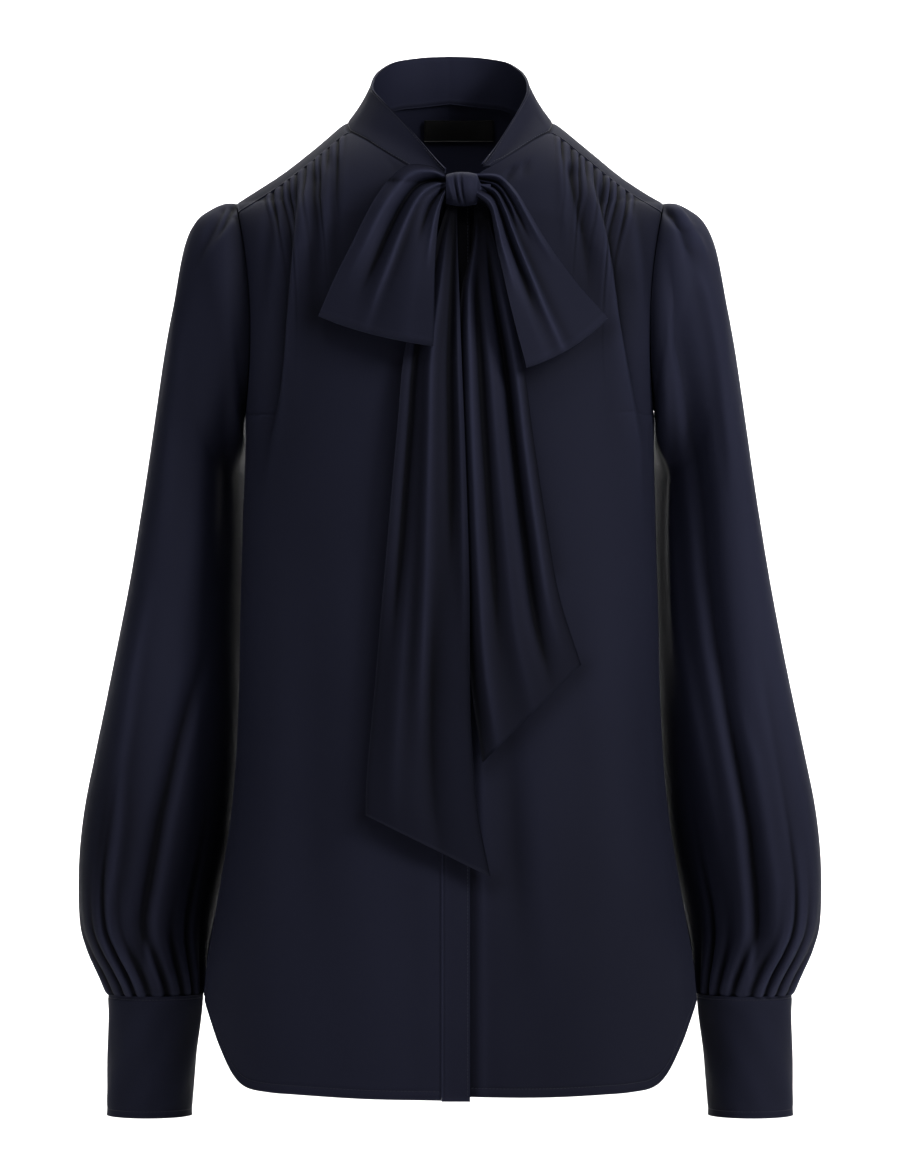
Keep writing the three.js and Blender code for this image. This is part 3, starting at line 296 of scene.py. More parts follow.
def cloth(name, points, facing, thickness, closed=False, shade=0.0, inside_painted_light=0.0):
    rows, columns, _ = points.shape
    normals = normals_of(points, facing, closed)
    painted_shade = fold_shade_of(points, normals, closed)
    inner = points - normals * thickness
    skin = face_grid(rows, columns, closed)
    count = rows * columns
    rim = skin_edges(rows, columns, closed)
    rim_faces = np.stack([rim[:, 0], rim[:, 1], rim[:, 1] + count, rim[:, 0] + count], axis=-1)
    faces = np.concatenate([skin, skin[:, ::-1] + count, rim_faces[:, ::-1]])
    corners = np.cross(points[1, 0] - points[0, 0], points[0, 1] - points[0, 0])
    if np.dot(corners, normals[0, 0]) > 0:
        faces = faces[:, ::-1]
    mesh = bpy.data.meshes.new(name)
    everything = np.concatenate([points.reshape(-1, 3), inner.reshape(-1, 3)]) * MM
    mesh.from_pydata(everything.tolist(), [], faces.tolist())
    u = lengths_along(points, 1).reshape(-1) * MM
    v = lengths_along(points, 0).reshape(-1) * MM
    place = np.stack([np.tile(u, 2), np.tile(v, 2)], axis=-1)
    shade = np.broadcast_to(shade, (rows, columns))
    # Painted shade and light: darker in hollows, lighter on ridges, plus the shade given; the inside skin
    # gets half the folds' painted shade turned round and its own painted light
    outer_painted_shade = painted_shade + shade
    inner_painted_shade = shade + inside_painted_light - INSIDE_FOLD_SHADE * painted_shade
    paint_shade(mesh, np.concatenate([outer_painted_shade.reshape(-1), inner_painted_shade.reshape(-1)]))
    layer = mesh.uv_layers.new(name="cloth")
    corner_points = np.empty(len(mesh.loops), dtype=np.int32)
    mesh.loops.foreach_get("vertex_index", corner_points)
    layer.data.foreach_set("uv", place[corner_points].astype(np.float32).reshape(-1))
    mesh.polygons.foreach_set("use_smooth", np.ones(len(mesh.polygons), dtype=bool))
    obj = bpy.data.objects.new(name, mesh)
    bpy.context.scene.collection.objects.link(obj)
    area = sum(face.area for face in mesh.polygons) / 2
    print(name, "has", len(faces), "faces and", round(area, 4), "square metres of cloth")
    return obj


# %% Folds
FOLD_COLUMNS = "path left right out start end"
FOLD_LEAD = 0.04


def fold_lift(folds, x, z):
    lift = np.zeros_like(x)
    for fold in folds:
        path = sorted(fold["path"], key=lambda spot: spot[1])
        zs = np.array([spot[1] for spot in path], float)
        xs = np.array([spot[0] for spot in path], float)
        middle = np.interp(z, zs, xs)
        length = zs[-1] - zs[0]
        s = (zs[-1] - z) / length
        away = x - middle
        width = np.where(away < 0, fold["left"], fold["right"])
        shape = np.exp(-np.abs(away / width) ** 2)
        grown = ease(-FOLD_LEAD, fold["start"], s) * ease(0, fold["end"], 1 - s)
        lift += fold["out"] * shape * grown
    return lift


# %% [markdown]
# ## The crepe
# Crepe is woven from hard-twisted yarns, so its surface is pebbled and matt, with a soft
# sheen where it turns away. The colour is nearly black navy. One class wraps a socket so
# that shader maths reads as Python, and one method makes every other node.

# %% Shader helpers
class Wire:
    def __init__(self, finish, socket):
        self.finish = finish
        self.socket = socket

    def _maths(self, operation, a, b):
        return self.finish.node("ShaderNodeMath", {"operation": operation}, {0: a, 1: b})

    def __add__(self, other):
        return self._maths("ADD", self, other)

    def __mul__(self, other):
        return self._maths("MULTIPLY", self, other)

    __radd__ = __add__
    __rmul__ = __mul__


class Finish:
    def __init__(self, name):
        self.material = bpy.data.materials.new(name)
        self.material.use_nodes = True
        self.tree = self.material.node_tree
        self.tree.nodes.clear()

    def node(self, kind, settings=None, sockets=None, output=0):
        node = self.tree.nodes.new(kind)
        for name, value in (settings or {}).items():
            setattr(node, name, value)
        for name, value in (sockets or {}).items():
            if isinstance(value, Wire):
                self.tree.links.new(value.socket, node.inputs[name])
            else:
                node.inputs[name].default_value = value
        return Wire(self, node.outputs[output]) if node.outputs else None


# %% The crepe's finish
# The crepe's colour is mixed between these two navies by its painted shade and light, its pebbling, its yarns
# and slow clouds
NAVY_DEEP = (0.0008, 0.0009, 0.0022, 1)
NAVY_PALE = (0.0185, 0.0200, 0.0385, 1)
PEBBLE_SCALE = 1500
CLOUD_SCALE = 9
YARN_PITCH = 0.00055
WAVE_REPEAT = 2 / 6.28
MIDDLE_TONE = 0.35
CREPE_SHEEN = 0.012


def crepe(name, painted_light=1.0):
    finish = Finish(name)
    place = finish.node("ShaderNodeTexCoord", output="Object")
    along = finish.node("ShaderNodeUVMap", {"uv_map": "cloth"})
    pebble = finish.node("ShaderNodeTexNoise", {}, {"Vector": place, "Scale": PEBBLE_SCALE, "Detail": 2})
    cloudy = finish.node("ShaderNodeTexNoise", {}, {"Vector": place, "Scale": CLOUD_SCALE, "Detail": 3})
    yarns = [
        finish.node("ShaderNodeTexWave", {"bands_direction": way}, {
            "Vector": along, "Scale": WAVE_REPEAT / YARN_PITCH, "Distortion": 1.5, "Detail": 1,
        })
        for way in ("X", "Y")
    ]
    weave = yarns[0] * 0.5 + yarns[1] * 0.5
    # The base colour is darkened and lightened by the painted shade kept on the mesh
    painted_shade = finish.node("ShaderNodeAttribute", {"attribute_name": "painted_shade"}, output=2)
    tone = painted_shade * 0.5 + cloudy * 0.1 + pebble * 0.14 + weave * 0.06 + MIDDLE_TONE
    color = finish.node("ShaderNodeMix", {"data_type": "RGBA"}, {
        0: tone,
        6: tuple(c * painted_light for c in NAVY_DEEP[:3]) + (1,),
        7: tuple(c * painted_light for c in NAVY_PALE[:3]) + (1,),
    }, output=2)
    rough = 0.62 + pebble * 0.16
    bump = finish.node("ShaderNodeBump", {}, {
        "Strength": 0.35, "Distance": 0.00025, "Height": pebble * 0.7 + weave * 0.3,
    })
    surface = finish.node("ShaderNodeBsdfPrincipled", {}, {
        "Base Color": color,
        "Roughness": rough,
        "Specular IOR Level": 0.05,
        "Sheen Weight": CREPE_SHEEN,
        "Sheen Roughness": 0.5,
        "Sheen Tint": (0.35, 0.4, 0.62, 1),
        "Normal": bump,
    })
    finish.node("ShaderNodeOutputMaterial", {}, {"Surface": surface})
    return finish.material


CREPE = crepe("navy_crepe")
# The bow's crepe is the same cloth with its colour painted 5% lighter
TIE_CREPE = crepe("navy_crepe_tie", 1.05)
print("crepe yarns are", round(YARN_PITCH * 1000, 2), "mm apart")


SEAM_LINES = {"hem_stitches": [], "placket_stitches": [], "cuff_stitches": [], "collar_stitches": []}


def dress(obj, nodes, material):
    obj.data.materials.append(material)
    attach(obj, "root")
    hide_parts(*nodes)


# %% [markdown]
# ## The fronts
# Each front is gathered under the yoke seam and hangs from it. The panel's columns keep
# their share of the way from the middle to the side, so that the gathers fan out as they
# fall. Long folds are listed where the photo has them, each with its own path,
# two half widths and depth, because a fold is steeper on one side.

# %% The front's measures
THICK = 0.7
NECK_CORNER_X = 73.5
FRONT_CORNER_DROP = 11
NECKLINE = table("x z", [
    (-10, -52),
    (0, -52),
    (6, -50.5),
    (15, -47),
    (26, -41),
    (38, -33.5),
    (50, -25.5),
    (62, -17),
    (73.5, -9.9),
])
HEM = table("across z", [
    (0, -712.8),
    (0.35, -711.8),
    (0.6, -710),
    (0.72, -709),
    (0.81, -706),
    (0.865, -697),
    (0.925, -677),
    (0.965, -660),
    (1, -646),
])
neckline = reader(NECKLINE, "x")
hem = reader(HEM, "across")
UNDERLAP_DROP, UNDERLAP_FROM, UNDERLAP_TO = 2.3, 15.5, 24.5
LEFT_HEM_RISE = 2.5
# Painted shade along the side seam, low on the left front and over its outer gathers; painted light over the
# whole right front
SIDE_SEAM_SHADE, SIDE_SEAM_SHADE_WIDE = 0.6, 3
LOW_LEFT_SHADE, GATHER_SHADE, RIGHT_PAINTED_LIGHT = 0.25, 0.25, 0.08
RIPPLE, RIPPLE_WIDE, RIPPLE_TALL = 0.7, 13, 90
GATHER_FROM, GATHER_WAVE, GATHER_COUNT = 77, 5.9, 10
GATHER_REACH = [10, 26, 12, 40, 14, 30, 12, 55, 16, 34, 12]
GATHER_DEPTH = [0.9, 1.6, 1.15, 1.8, 1.25, 1.7, 1.0, 1.9, 1.3, 1.6, 1.0]

# Where the bow keeps the light off the fronts: along which line, how wide and how much
BOW_SHADE = table("start end width deep", [
    ((-24, -44), (-90, -140), 20, 0.5),
    ((-96, -150), (-16, -182), 12, 0.4),
    ((58, -194), (116, -156), 8, 0.35),
    ((8, -60), (14, -215), 17, 1.1),
    ((-36, -186), (-62, -508), 6, 0.4),
    ((-60, -512), (30, -556), 8, 0.4),
    ((24, -474), (96, -402), 7, 0.35),
    ((40, -196), (76, -330), 8, 0.3),
])

RIGHT_FRONT_FOLDS = table(FOLD_COLUMNS, [
    ([(-47, -30), (-40, -38), (-36, -46)], 3, 3, -1.6, 0.1, 0.6),
    ([(-113, -46), (-117, -98), (-121, -141), (-124, -173), (-129, -205), (-134, -240), (-139, -290)],
     9, 5, -5.6, 0.12, 0.45),
    ([(-108, -46), (-112, -98), (-115, -130), (-118, -173), (-121, -250)], 5, 12, 3.8, 0.12, 0.5),
    ([(-129, -56), (-133, -100), (-138, -165)], 5, 5, -2.2, 0.15, 0.7),
    ([(-98, -38), (-99, -90), (-101, -170)], 4, 6, -2.2, 0.08, 0.8),
    ([(-90, -32), (-90, -80), (-91, -150)], 4, 5, 1.5, 0.12, 0.8),
    ([(-84, -28), (-84, -70), (-83, -125)], 3.5, 4.5, -1.3, 0.12, 0.8),
    ([(-141, -210), (-133, -330), (-128, -470), (-131, -640)], 18, 22, 2.6, 0.3, 0.5),
    ([(-104, -300), (-98, -430), (-100, -640)], 22, 20, -2.2, 0.4, 0.4),
    ([(-60, -250), (-58, -420), (-60, -660)], 24, 22, 1.2, 0.4, 0.4),
])
LEFT_FRONT_FOLDS = table(FOLD_COLUMNS, [
    ([(48, -37), (44, -44), (40, -54)], 3, 4, -1.8, 0.1, 0.6),
    ([(56, -33), (55, -50)], 3, 4, -1, 0.1, 0.6),
    ([(88, -36), (93, -65), (98, -90), (103, -140)], 4, 6, -3.2, 0.08, 0.7),
    ([(98, -42), (108, -83), (115, -114), (119, -150), (124, -184), (129, -211), (135, -245), (139, -320)],
     11, 5.5, 4.4, 0.1, 0.5),
    ([(110, -46), (118, -90), (126, -145), (133, -186), (141, -240)], 5, 9, -5, 0.1, 0.5),
    ([(130, -58), (137, -110), (143, -180)], 5, 5, 1.8, 0.15, 0.6),
    ([(82, -28), (84, -70), (86, -120)], 4, 5, 1.3, 0.12, 0.8),
    ([(40, -420), (45, -508), (51, -610)], 17, 12, -3.2, 0.4, 0.4),
    ([(66, -460), (70, -560), (76, -670)], 15, 20, 2, 0.4, 0.4),
    ([(122, -300), (121, -430), (128, -640)], 20, 18, 2.4, 0.4, 0.4),
    ([(92, -260), (90, -380), (96, -560)], 20, 16, -1.6, 0.4, 0.4),
])


# %% The front panels
def front_top(x):
    end_x, _, end_z = armhole(2 * ARMHOLE_STEP, FRONT)
    share = (x - NECK_CORNER_X) / (end_x - NECK_CORNER_X)
    end_drop = ridge(end_x, "front") - end_z
    seam = ridge(x, "front") - mix(FRONT_CORNER_DROP, end_drop, share)
    return np.where(x <= NECK_CORNER_X, neckline(x, "z"), seam)


def column_x(across, z, face):
    straight = 1 - ease(0.06, 0.3, np.abs(across))
    return across * mix(edge_at(z, face), ARMHOLE_TOP_X, straight)


def column_top(across, top_at, face):
    x = np.abs(across) * ARMHOLE_TOP_X
    for _ in range(8):
        x = column_x(np.abs(across), top_at(x), face)
    return top_at(x)


def panel_grid(across, top_at, top_angle, face, upper, lower, hem_at):
    edge_top = armhole(top_angle, face)[2]
    top = column_top(across, top_at, face)
    top = np.where(np.abs(across) > 0.9999, edge_top, top)
    low = mix(MIDDLE_LOW_Z, ARMPIT_Z, across ** 2)
    v = upper[:, None]
    edge_z = armhole(mix(top_angle, math.pi, v), face)[2]
    edge_share = (edge_top - edge_z) / (edge_top - ARMPIT_Z)
    share = mix(v, edge_share, np.abs(across) ** 3)
    upper_z = mix(top, low, share)
    lower_z = mix(low, hem_at(np.abs(across)), lower[1:, None])
    z = np.concatenate([upper_z, lower_z])
    return column_x(across, z, face), z, np.broadcast_to(top, z.shape)


def gather_lift(across, below):
    n = (np.abs(across) * ARMHOLE_TOP_X - GATHER_FROM) / GATHER_WAVE
    inside = ease(-0.3, 0.4, n) * ease(-0.3, 0.4, GATHER_COUNT - n)
    steps = np.arange(GATHER_COUNT + 1)
    reach = np.interp(n, steps, GATHER_REACH)
    deep = np.interp(n, steps, GATHER_DEPTH)
    warp = n + 0.12 * np.sin(1.7 * n + 0.8)
    pinch = 1 - 2 * (0.5 + 0.5 * np.cos(2 * np.pi * warp)) ** 2
    return inside * deep * pinch * np.exp(-(below / reach) ** 1.3)


def seam_dip(distance, depth=0.5, width=1.6):
    return -depth * np.exp(-(distance / width) ** 2)


def hem_roll(distance, width=6.5):
    return 0.35 * ease(width + 0.5, width - 0.5, distance) - 0.3 * np.exp(-((distance - width) / 0.8) ** 2)


def bow_shade(x, z):
    shade = np.zeros_like(x)
    for soft in BOW_SHADE:
        (ax, az), (bx, bz) = soft["start"], soft["end"]
        length = math.hypot(bx - ax, bz - az)
        share = np.clip(((x - ax) * (bx - ax) + (z - az) * (bz - az)) / length ** 2, 0, 1)
        away = np.hypot(x - mix(ax, bx, share), z - mix(az, bz, share))
        shade -= soft["deep"] * np.exp(-(away / soft["width"]) ** 2)
    return shade


def front_panel(side):
    start = {RIGHT: 6.15, LEFT: -10}[side] / ARMHOLE_TOP_X
    middle = np.linspace(start, 0.47, 30, endpoint=False)
    gathered = np.linspace(0.47, 0.88, 88, endpoint=False)
    outside = np.linspace(0.88, 1, 22)
    across = np.concatenate([middle, gathered, outside])
    upper = np.linspace(0, 1, 82) ** 1.25
    lower = np.concatenate([np.linspace(0, 0.97, 68), np.linspace(0.98, 1, 8)])
    x, z, top = panel_grid(across, front_top, 2 * ARMHOLE_STEP, FRONT, upper, lower, lambda a: hem(a, "z"))
    x = x * side
    if side == LEFT:
        z = z + LEFT_HEM_RISE * np.exp(-(x / 60) ** 2) * ease(-600, -713, z)
    base = torso(x, z, FRONT)
    base[:, -1, 1] -= 0.05
    n = normals_of(base, np.array([0.0, -1, 0]))
    below = np.maximum(top - z, 0)
    folds = RIGHT_FRONT_FOLDS if side == RIGHT else LEFT_FRONT_FOLDS
    lift = gather_lift(across, below) * ease(-2, 3, below)
    lift += fold_lift(folds, x, z) * ease(0, 20, below)
    ripple = RIPPLE * np.sin(x / RIPPLE_WIDE + 0.9 * np.sin(z / RIPPLE_TALL))
    lift += ripple * ease(-150, -420, z) * ease(4, 30, np.abs(x))
    lift += seam_dip(below) * (np.abs(x) > NECK_CORNER_X)
    lift += hem_roll(z - z[-1:])
    if side == LEFT:
        lift -= UNDERLAP_DROP * (1 - ease(UNDERLAP_FROM, UNDERLAP_TO, x))
    across_run = lengths_along(base, 1)
    from_side = across_run[:, -1:] - across_run
    lift += seam_dip(from_side, 0.5, 1.3)
    points = base + n * lift[..., None]
    SEAM_LINES["hem_stitches"].append((points, np.array([0.0, -1, 0]), 6.4))
    # Painted shadow of the bow, painted shade along the side seam, then each front's painted shade or light
    shade = bow_shade(x, z) - SIDE_SEAM_SHADE * np.exp(-(from_side / SIDE_SEAM_SHADE_WIDE) ** 2)
    if side == LEFT:
        shade -= LOW_LEFT_SHADE * ease(-350, -600, z) + GATHER_SHADE * ease(75, 95, x) * ease(-170, -120, z)
    else:
        shade += RIGHT_PAINTED_LIGHT
    obj = cloth(f"{SIDES[side]}_front_cloth", points, np.array([0.0, -1, 0]), THICK, shade=shade)
    dress(obj, [f"{SIDES[side]}_front"], CREPE)


front_panel(RIGHT)
front_panel(LEFT)

# %% [markdown]
# ## The fly front
# The placket is a folded band down the right front's edge that hides the buttons. It is
# stitched along its far side, which draws a fine line down the blouse.

# %% The placket band
PLACKET_FROM, PLACKET_TO = -6.1, 14.4
PLACKET_PROUD, PLACKET_DIP = 0.5, 0.3
PLACKET_THICK = 1.7


def placket():
    x = np.concatenate([np.linspace(PLACKET_FROM, PLACKET_FROM + 3, 8), np.linspace(-2, 11, 8),
                        np.linspace(12, PLACKET_TO, 8)])
    share = np.linspace(0, 1, 200) ** 1.2
    top = neckline(x, "z")
    z = mix(top[None, :], -713.4, share[:, None])
    base = torso(np.broadcast_to(x, z.shape), z, FRONT)
    n = normals_of(base, np.array([0.0, -1, 0]))
    lift = PLACKET_PROUD * ease(PLACKET_FROM, PLACKET_FROM + 1, x)
    lift = lift - PLACKET_DIP * np.exp(-((x - PLACKET_FROM - 2) / 0.6) ** 2)
    wander = 0.25 * np.sin(z / 31) + 0.2 * np.sin(z / 13 + 1)
    points = base + n * (lift + wander * 0.5 + hem_roll(z - z[-1:]))[..., None]
    SEAM_LINES["placket_stitches"].append((points.transpose(1, 0, 2), np.array([0.0, -1, 0]), 1.7))
    shade = bow_shade(base[..., 0], z)
    obj = cloth("front_placket_cloth", points, np.array([0.0, -1, 0]), PLACKET_THICK, shade=shade)
    dress(obj, ["front_placket"], CREPE)


placket()

# %% [markdown]
# ## The back and the yoke
# The back hangs from the yoke with soft gathers between the shoulder blades. The yoke
# wraps the shoulders, from a seam a little in front of the ridge down to the upper back.

# %% The back
BACK_FOLDS = table(FOLD_COLUMNS, [
    ([(-104, -90), (-112, -200), (-124, -330)], 8, 11, 3.5, 0.1, 0.4),
    ([(-121, -95), (-127, -190), (-134, -280)], 6, 6, -3, 0.1, 0.5),
    ([(110, -90), (117, -190), (128, -300)], 11, 8, 3.5, 0.1, 0.4),
    ([(127, -95), (132, -180), (139, -260)], 6, 6, -3, 0.1, 0.5),
    ([(-62, -250), (-66, -480), (-72, -700)], 22, 18, -4, 0.3, 0.3),
    ([(-30, -300), (-32, -500), (-36, -700)], 16, 16, 2.4, 0.3, 0.3),
    ([(70, -240), (74, -480), (82, -700)], 18, 22, -4, 0.3, 0.3),
    ([(36, -320), (38, -520), (42, -700)], 16, 14, 2.2, 0.3, 0.3),
])
BACK_GATHER_FROM, BACK_GATHER_WAVE, BACK_GATHER_COUNT = -56, 7, 16
BACK_GATHER_DEPTH = 1.2
# The back's inside skin is painted lighter
BACK_INSIDE_PAINTED_LIGHT = 1.5


def back_panel():
    across = np.concatenate([
        np.linspace(-1, -0.4, 40, endpoint=False),
        np.linspace(-0.4, 0.4, 112, endpoint=False),
        np.linspace(0.4, 1, 41),
    ])
    top_angle = 4 * ARMHOLE_STEP
    top_z = float(armhole(top_angle, BACK)[2])
    upper = np.linspace(0, 1, 60)
    lower = np.concatenate([np.linspace(0, 0.97, 64), np.linspace(0.98, 1, 8)])
    x, z, top = panel_grid(across, lambda x: np.full_like(x, top_z), top_angle, BACK, upper, lower,
                           lambda a: hem(a, "z"))
    base = torso(x, z, BACK)
    base[:, [0, -1], 1] += 0.05
    n = normals_of(base, np.array([0.0, 1, 0]))
    below = np.maximum(top - z, 0)
    count = (across * ARMHOLE_TOP_X - BACK_GATHER_FROM) / BACK_GATHER_WAVE
    inside = ease(-0.3, 0.5, count) * ease(-0.3, 0.5, BACK_GATHER_COUNT - count)
    reach = 40 + 22 * np.sin(1.9 * count) + 12 * np.sin(4.1 * count + 1)
    pinch = 1 - 2 * (0.5 + 0.5 * np.cos(2 * np.pi * (count + 0.1 * np.sin(2.3 * count)))) ** 2
    lift = inside * BACK_GATHER_DEPTH * pinch * np.exp(-(below / np.maximum(reach, 14)) ** 1.2)
    lift = lift + fold_lift(BACK_FOLDS, x, z) * ease(0, 25, below) + seam_dip(below) + hem_roll(z - z[-1:])
    points = base + n * lift[..., None]
    SEAM_LINES["hem_stitches"].append((points, np.array([0.0, 1, 0]), 6.4))
    obj = cloth("back_cloth", points, np.array([0.0, 1, 0]), THICK, inside_painted_light=BACK_INSIDE_PAINTED_LIGHT)
    dress(obj, ["back"], CREPE)


back_panel()

# %% The yoke
NECK = table("turn x drop", [
    (0, 0, 38.5),
    (1, 12.5, 37.9),
    (2, 25, 35),
    (3, 37, 30.5),
    (4, 48, 25),
    (5, 58, 18.5),
    (6, 66, 11.5),
    (7, 71.5, 6),
    (8, 74.5, 2.6),
    (9, 76, 0),
    (10, 76.2, -2.6),
    (11, 75.8, -5.2),
    (12, 74.9, -8),
    (13, 73.5, -11),
])
neck = reader(NECK, "turn")
YOKE_BACK_TURN = 7
# The yoke's inside skin is painted lighter
YOKE_THICK, YOKE_INSIDE_PAINTED_LIGHT = 1.0, 1.8


def shoulder(x, drop, side):
    behind = drop > 0
    z = ridge(x, "back") - np.abs(drop)
    z = np.where(behind, z, ridge(x, "front") - np.abs(drop))
    y = np.where(behind, torso_depth(x, z, BACK), torso_depth(x, z, FRONT))
    return np.stack([side * x, y, z], axis=-1)


def yoke_outline(turn):
    back_z = armhole(4 * ARMHOLE_STEP, BACK)[2]
    back_x = edge_at(back_z, BACK) * np.sin(np.minimum(turn / YOKE_BACK_TURN, 1) * math.pi / 2)
    step = 4 - (turn - YOKE_BACK_TURN)
    angle = np.abs(step) * ARMHOLE_STEP
    arm_back = armhole(angle, BACK)
    arm_front = armhole(angle, FRONT)
    arm_x = np.where(step > 0, arm_back[0], arm_front[0])
    arm_drop = np.sign(step) * (ridge(arm_x, "back") - arm_back[2])
    behind = turn <= YOKE_BACK_TURN
    return np.where(behind, back_x, arm_x), np.where(behind, ridge(back_x, "back") - back_z, arm_drop)


def yoke():
    turn = np.linspace(0, 13, 92)
    share = np.linspace(0, 1, 44)[:, None]
    end_x, end_drop = yoke_outline(turn)
    x = mix(neck(turn, "x"), end_x, share)
    drop = mix(neck(turn, "drop"), end_drop, share)
    halves = [shoulder(x, drop, side) for side in (RIGHT, LEFT)]
    base = np.concatenate([halves[0][:, ::-1], halves[1][:, 1:]], axis=1)
    n = normals_of(base, np.array([0.0, 0.3, 1]))
    edge = lengths_along(base, 0)
    from_edge = np.minimum(edge, edge[-1:] - edge)
    soft = 0.5 * np.sin(base[..., 0] / 19) * np.sin(base[..., 2] / 23)
    lift = seam_dip(from_edge) + soft * ease(0, 15, from_edge)
    points = base + n * lift[..., None]
    obj = cloth("yoke_cloth", points, np.array([0.0, 0.3, 1]), YOKE_THICK, inside_painted_light=YOKE_INSIDE_PAINTED_LIGHT)
    dress(obj, ["yoke"], CREPE)


yoke()

# %% [markdown]
# ## The collar band
# A straight band about 34 mm high stands up from the neck seam. Its top edge leans in
# round the neck and its two ends run down to the knot.

# %% The collar band
COLLAR_TOP = {
    RIGHT: table("turn x y z", [
        (0, 0, 68, 55),
        (2, 22, 65, 53.8),
        (4, 42, 53, 49.5),
        (6, 53, 33, 41.5),
        (8, 57, 14, 34.5),
        (9, 57.6, 4, 31),
        (11, 57.6, -7, 26.5),
        (13, 56, -18, 21),
        (14, 50, -32, 13.5),
        (15, 42, -44, 4.5),
        (16, 31, -58, -8),
        (17, 20, -70, -21.5),
        (18, 10, -80, -34),
        (19, 4, -86, -41),
    ]),
    LEFT: table("turn x y z", [
        (0, 0, 68, 55),
        (2, 22, 65, 53.8),
        (4, 42, 53, 49.5),
        (6, 53, 33, 41.5),
        (8, 57, 14, 34.5),
        (9, 57.6, 4, 31),
        (11, 57.6, -7, 25.5),
        (13, 56, -19, 17.5),
        (14, 50, -34, 5.5),
        (15, 42, -50, -8.5),
        (16, 34, -66, -23),
        (17, 24, -83, -38),
    ]),
}
COLLAR_STOPS = {RIGHT: [73.5, 62, 50, 38, 26, 15, 6.15], LEFT: [73.5, 62, 50, 38, 30]}
COLLAR_THICK, COLLAR_HIGH, COLLAR_HOLLOW = 1.5, 34, 1.4
# Painted shade along the neck seam; the band's inside skin is painted lighter
COLLAR_SEAM_SHADE, COLLAR_INSIDE_PAINTED_LIGHT = 0.9, 0.8


def collar_side(side, columns):
    end = 13 + len(COLLAR_STOPS[side]) - 1
    turn = np.linspace(0, end, columns)
    stops = COLLAR_STOPS[side]
    stop_x = np.interp(turn, 13 + np.arange(len(stops)), stops)
    seam_back = shoulder(neck(turn, "x"), neck(turn, "drop"), side)
    seam_front = torso(side * stop_x, front_top(stop_x), FRONT)
    seam = np.where((turn > 13)[:, None], seam_front, seam_back)
    top = reader(COLLAR_TOP[side], "turn")
    edge = np.stack([side * top(turn, "x"), top(turn, "y"), top(turn, "z")], axis=-1)
    return seam, edge, turn / end


def collar():
    right_seam, right_top, right_t = collar_side(RIGHT, 130)
    left_seam, left_top, left_t = collar_side(LEFT, 120)
    seam = np.concatenate([right_seam[::-1], left_seam[1:]])
    top = np.concatenate([right_top[::-1], left_top[1:]])
    t = np.concatenate([-right_t[::-1], left_t[1:]])
    share = np.linspace(-0.035, 1, 38)[:, None]
    base = seam[None] + (top - seam)[None] * share[..., None]
    centre = np.array([0.0, -10, 0])
    outward = base - centre
    outward[..., 2] = 0
    n = normals_of(base, outward)
    hollow = -COLLAR_HOLLOW * np.sin(np.pi * share)
    creases = 0.9 * np.sin(19 * t + 4 * share) * ease(0.55, 0.9, np.abs(t)) * np.sin(np.pi * share)
    waves = 0.5 * np.sin(9 * t + 1.3) * share
    from_seam, from_top = share * COLLAR_HIGH, (1 - share) * COLLAR_HIGH
    lift = hollow + creases + waves + seam_dip(from_seam, 0.5) + 0.25 * np.exp(-(from_top / 2) ** 2)
    points = base + n * lift[..., None]
    SEAM_LINES["collar_stitches"] += [(points, outward, 1.6), (points, outward, -3)]
    # Painted shade at the foot of the band
    shade = -COLLAR_SEAM_SHADE * np.exp(-(from_seam / 1.5) ** 2) + 0 * t
    obj = cloth("collar_band_cloth", points, outward, COLLAR_THICK, shade=shade,
                inside_painted_light=COLLAR_INSIDE_PAINTED_LIGHT)
    dress(obj, ["collar_band"], CREPE)


collar()

# %% [markdown]
# ## The sleeves
# A bishop sleeve is set into the armhole with a little fullness at its cap, falls nearly
# straight, swells below the elbow and is gathered into the cuff. Each ring of the sleeve
# is an oval between its outer and inner point seen from the front.

# %% The sleeve's measures
SLEEVE = table("step outX outZ inX inZ deep", [
    (0, 158, -60, 151.3, -218, 54),
    (1, 167, -60.6, 152.2, -221, 57),
    (2, 177, -65, 152.6, -225, 59),
    (3, 187, -72.8, 152.6, -231, 60),
    (4, 194.5, -86, 152.4, -239, 60.5),
    (5, 200, -103, 152, -250, 60.5),
    (6, 205, -127, 151.6, -265, 60.5),
    (7, 210.5, -160, 151.5, -286, 60),
    (8, 216, -199, 151.6, -311, 60),
    (9, 222, -242, 152.2, -341, 60),
    (10, 228.5, -286, 153.2, -373, 60.5),
    (11, 236, -333, 154.2, -406, 61.5),
    (12, 244.4, -379, 155, -440, 63),
    (13, 252.8, -421, 156.8, -473, 64.5),
    (14, 262.2, -466, 159.6, -506, 65),
    (15, 270.4, -508, 164.2, -539, 64),
    (16, 274.2, -548, 170.4, -569, 61),
    (17, 273.4, -589, 176.4, -597, 55),
    (18, 268.4, -611, 180, -614, 50),
    (19, 260.6, -630, 182.2, -631, 42),
    (20, 254.6, -646, 183, -646, 35),
])
sleeve_at = reader(SLEEVE, "step")
SLEEVE_END = 20
SWING_FROM, SWING_FULL, SWING_MOST, SWING_AT_CUFF, SWING_FADE = 3, 6, 20, 5, 16
HANG_FROM, HANG_FULL, HANG_BACK = 1, 8, 20
CUFF_GATHERS = 19
CUFF_REACH = [22, 60, 30, 40, 75, 26, 48, 34, 66, 24, 38, 80, 28, 44, 32, 62, 26, 50, 36]
CUFF_DEPTH = [1.0, 2.0, 1.2, 1.5, 2.3, 1.1, 1.8, 1.3, 2.1, 1.1, 1.5, 2.4, 1.2, 1.6, 1.3, 2.0, 1.1, 1.7, 1.5]
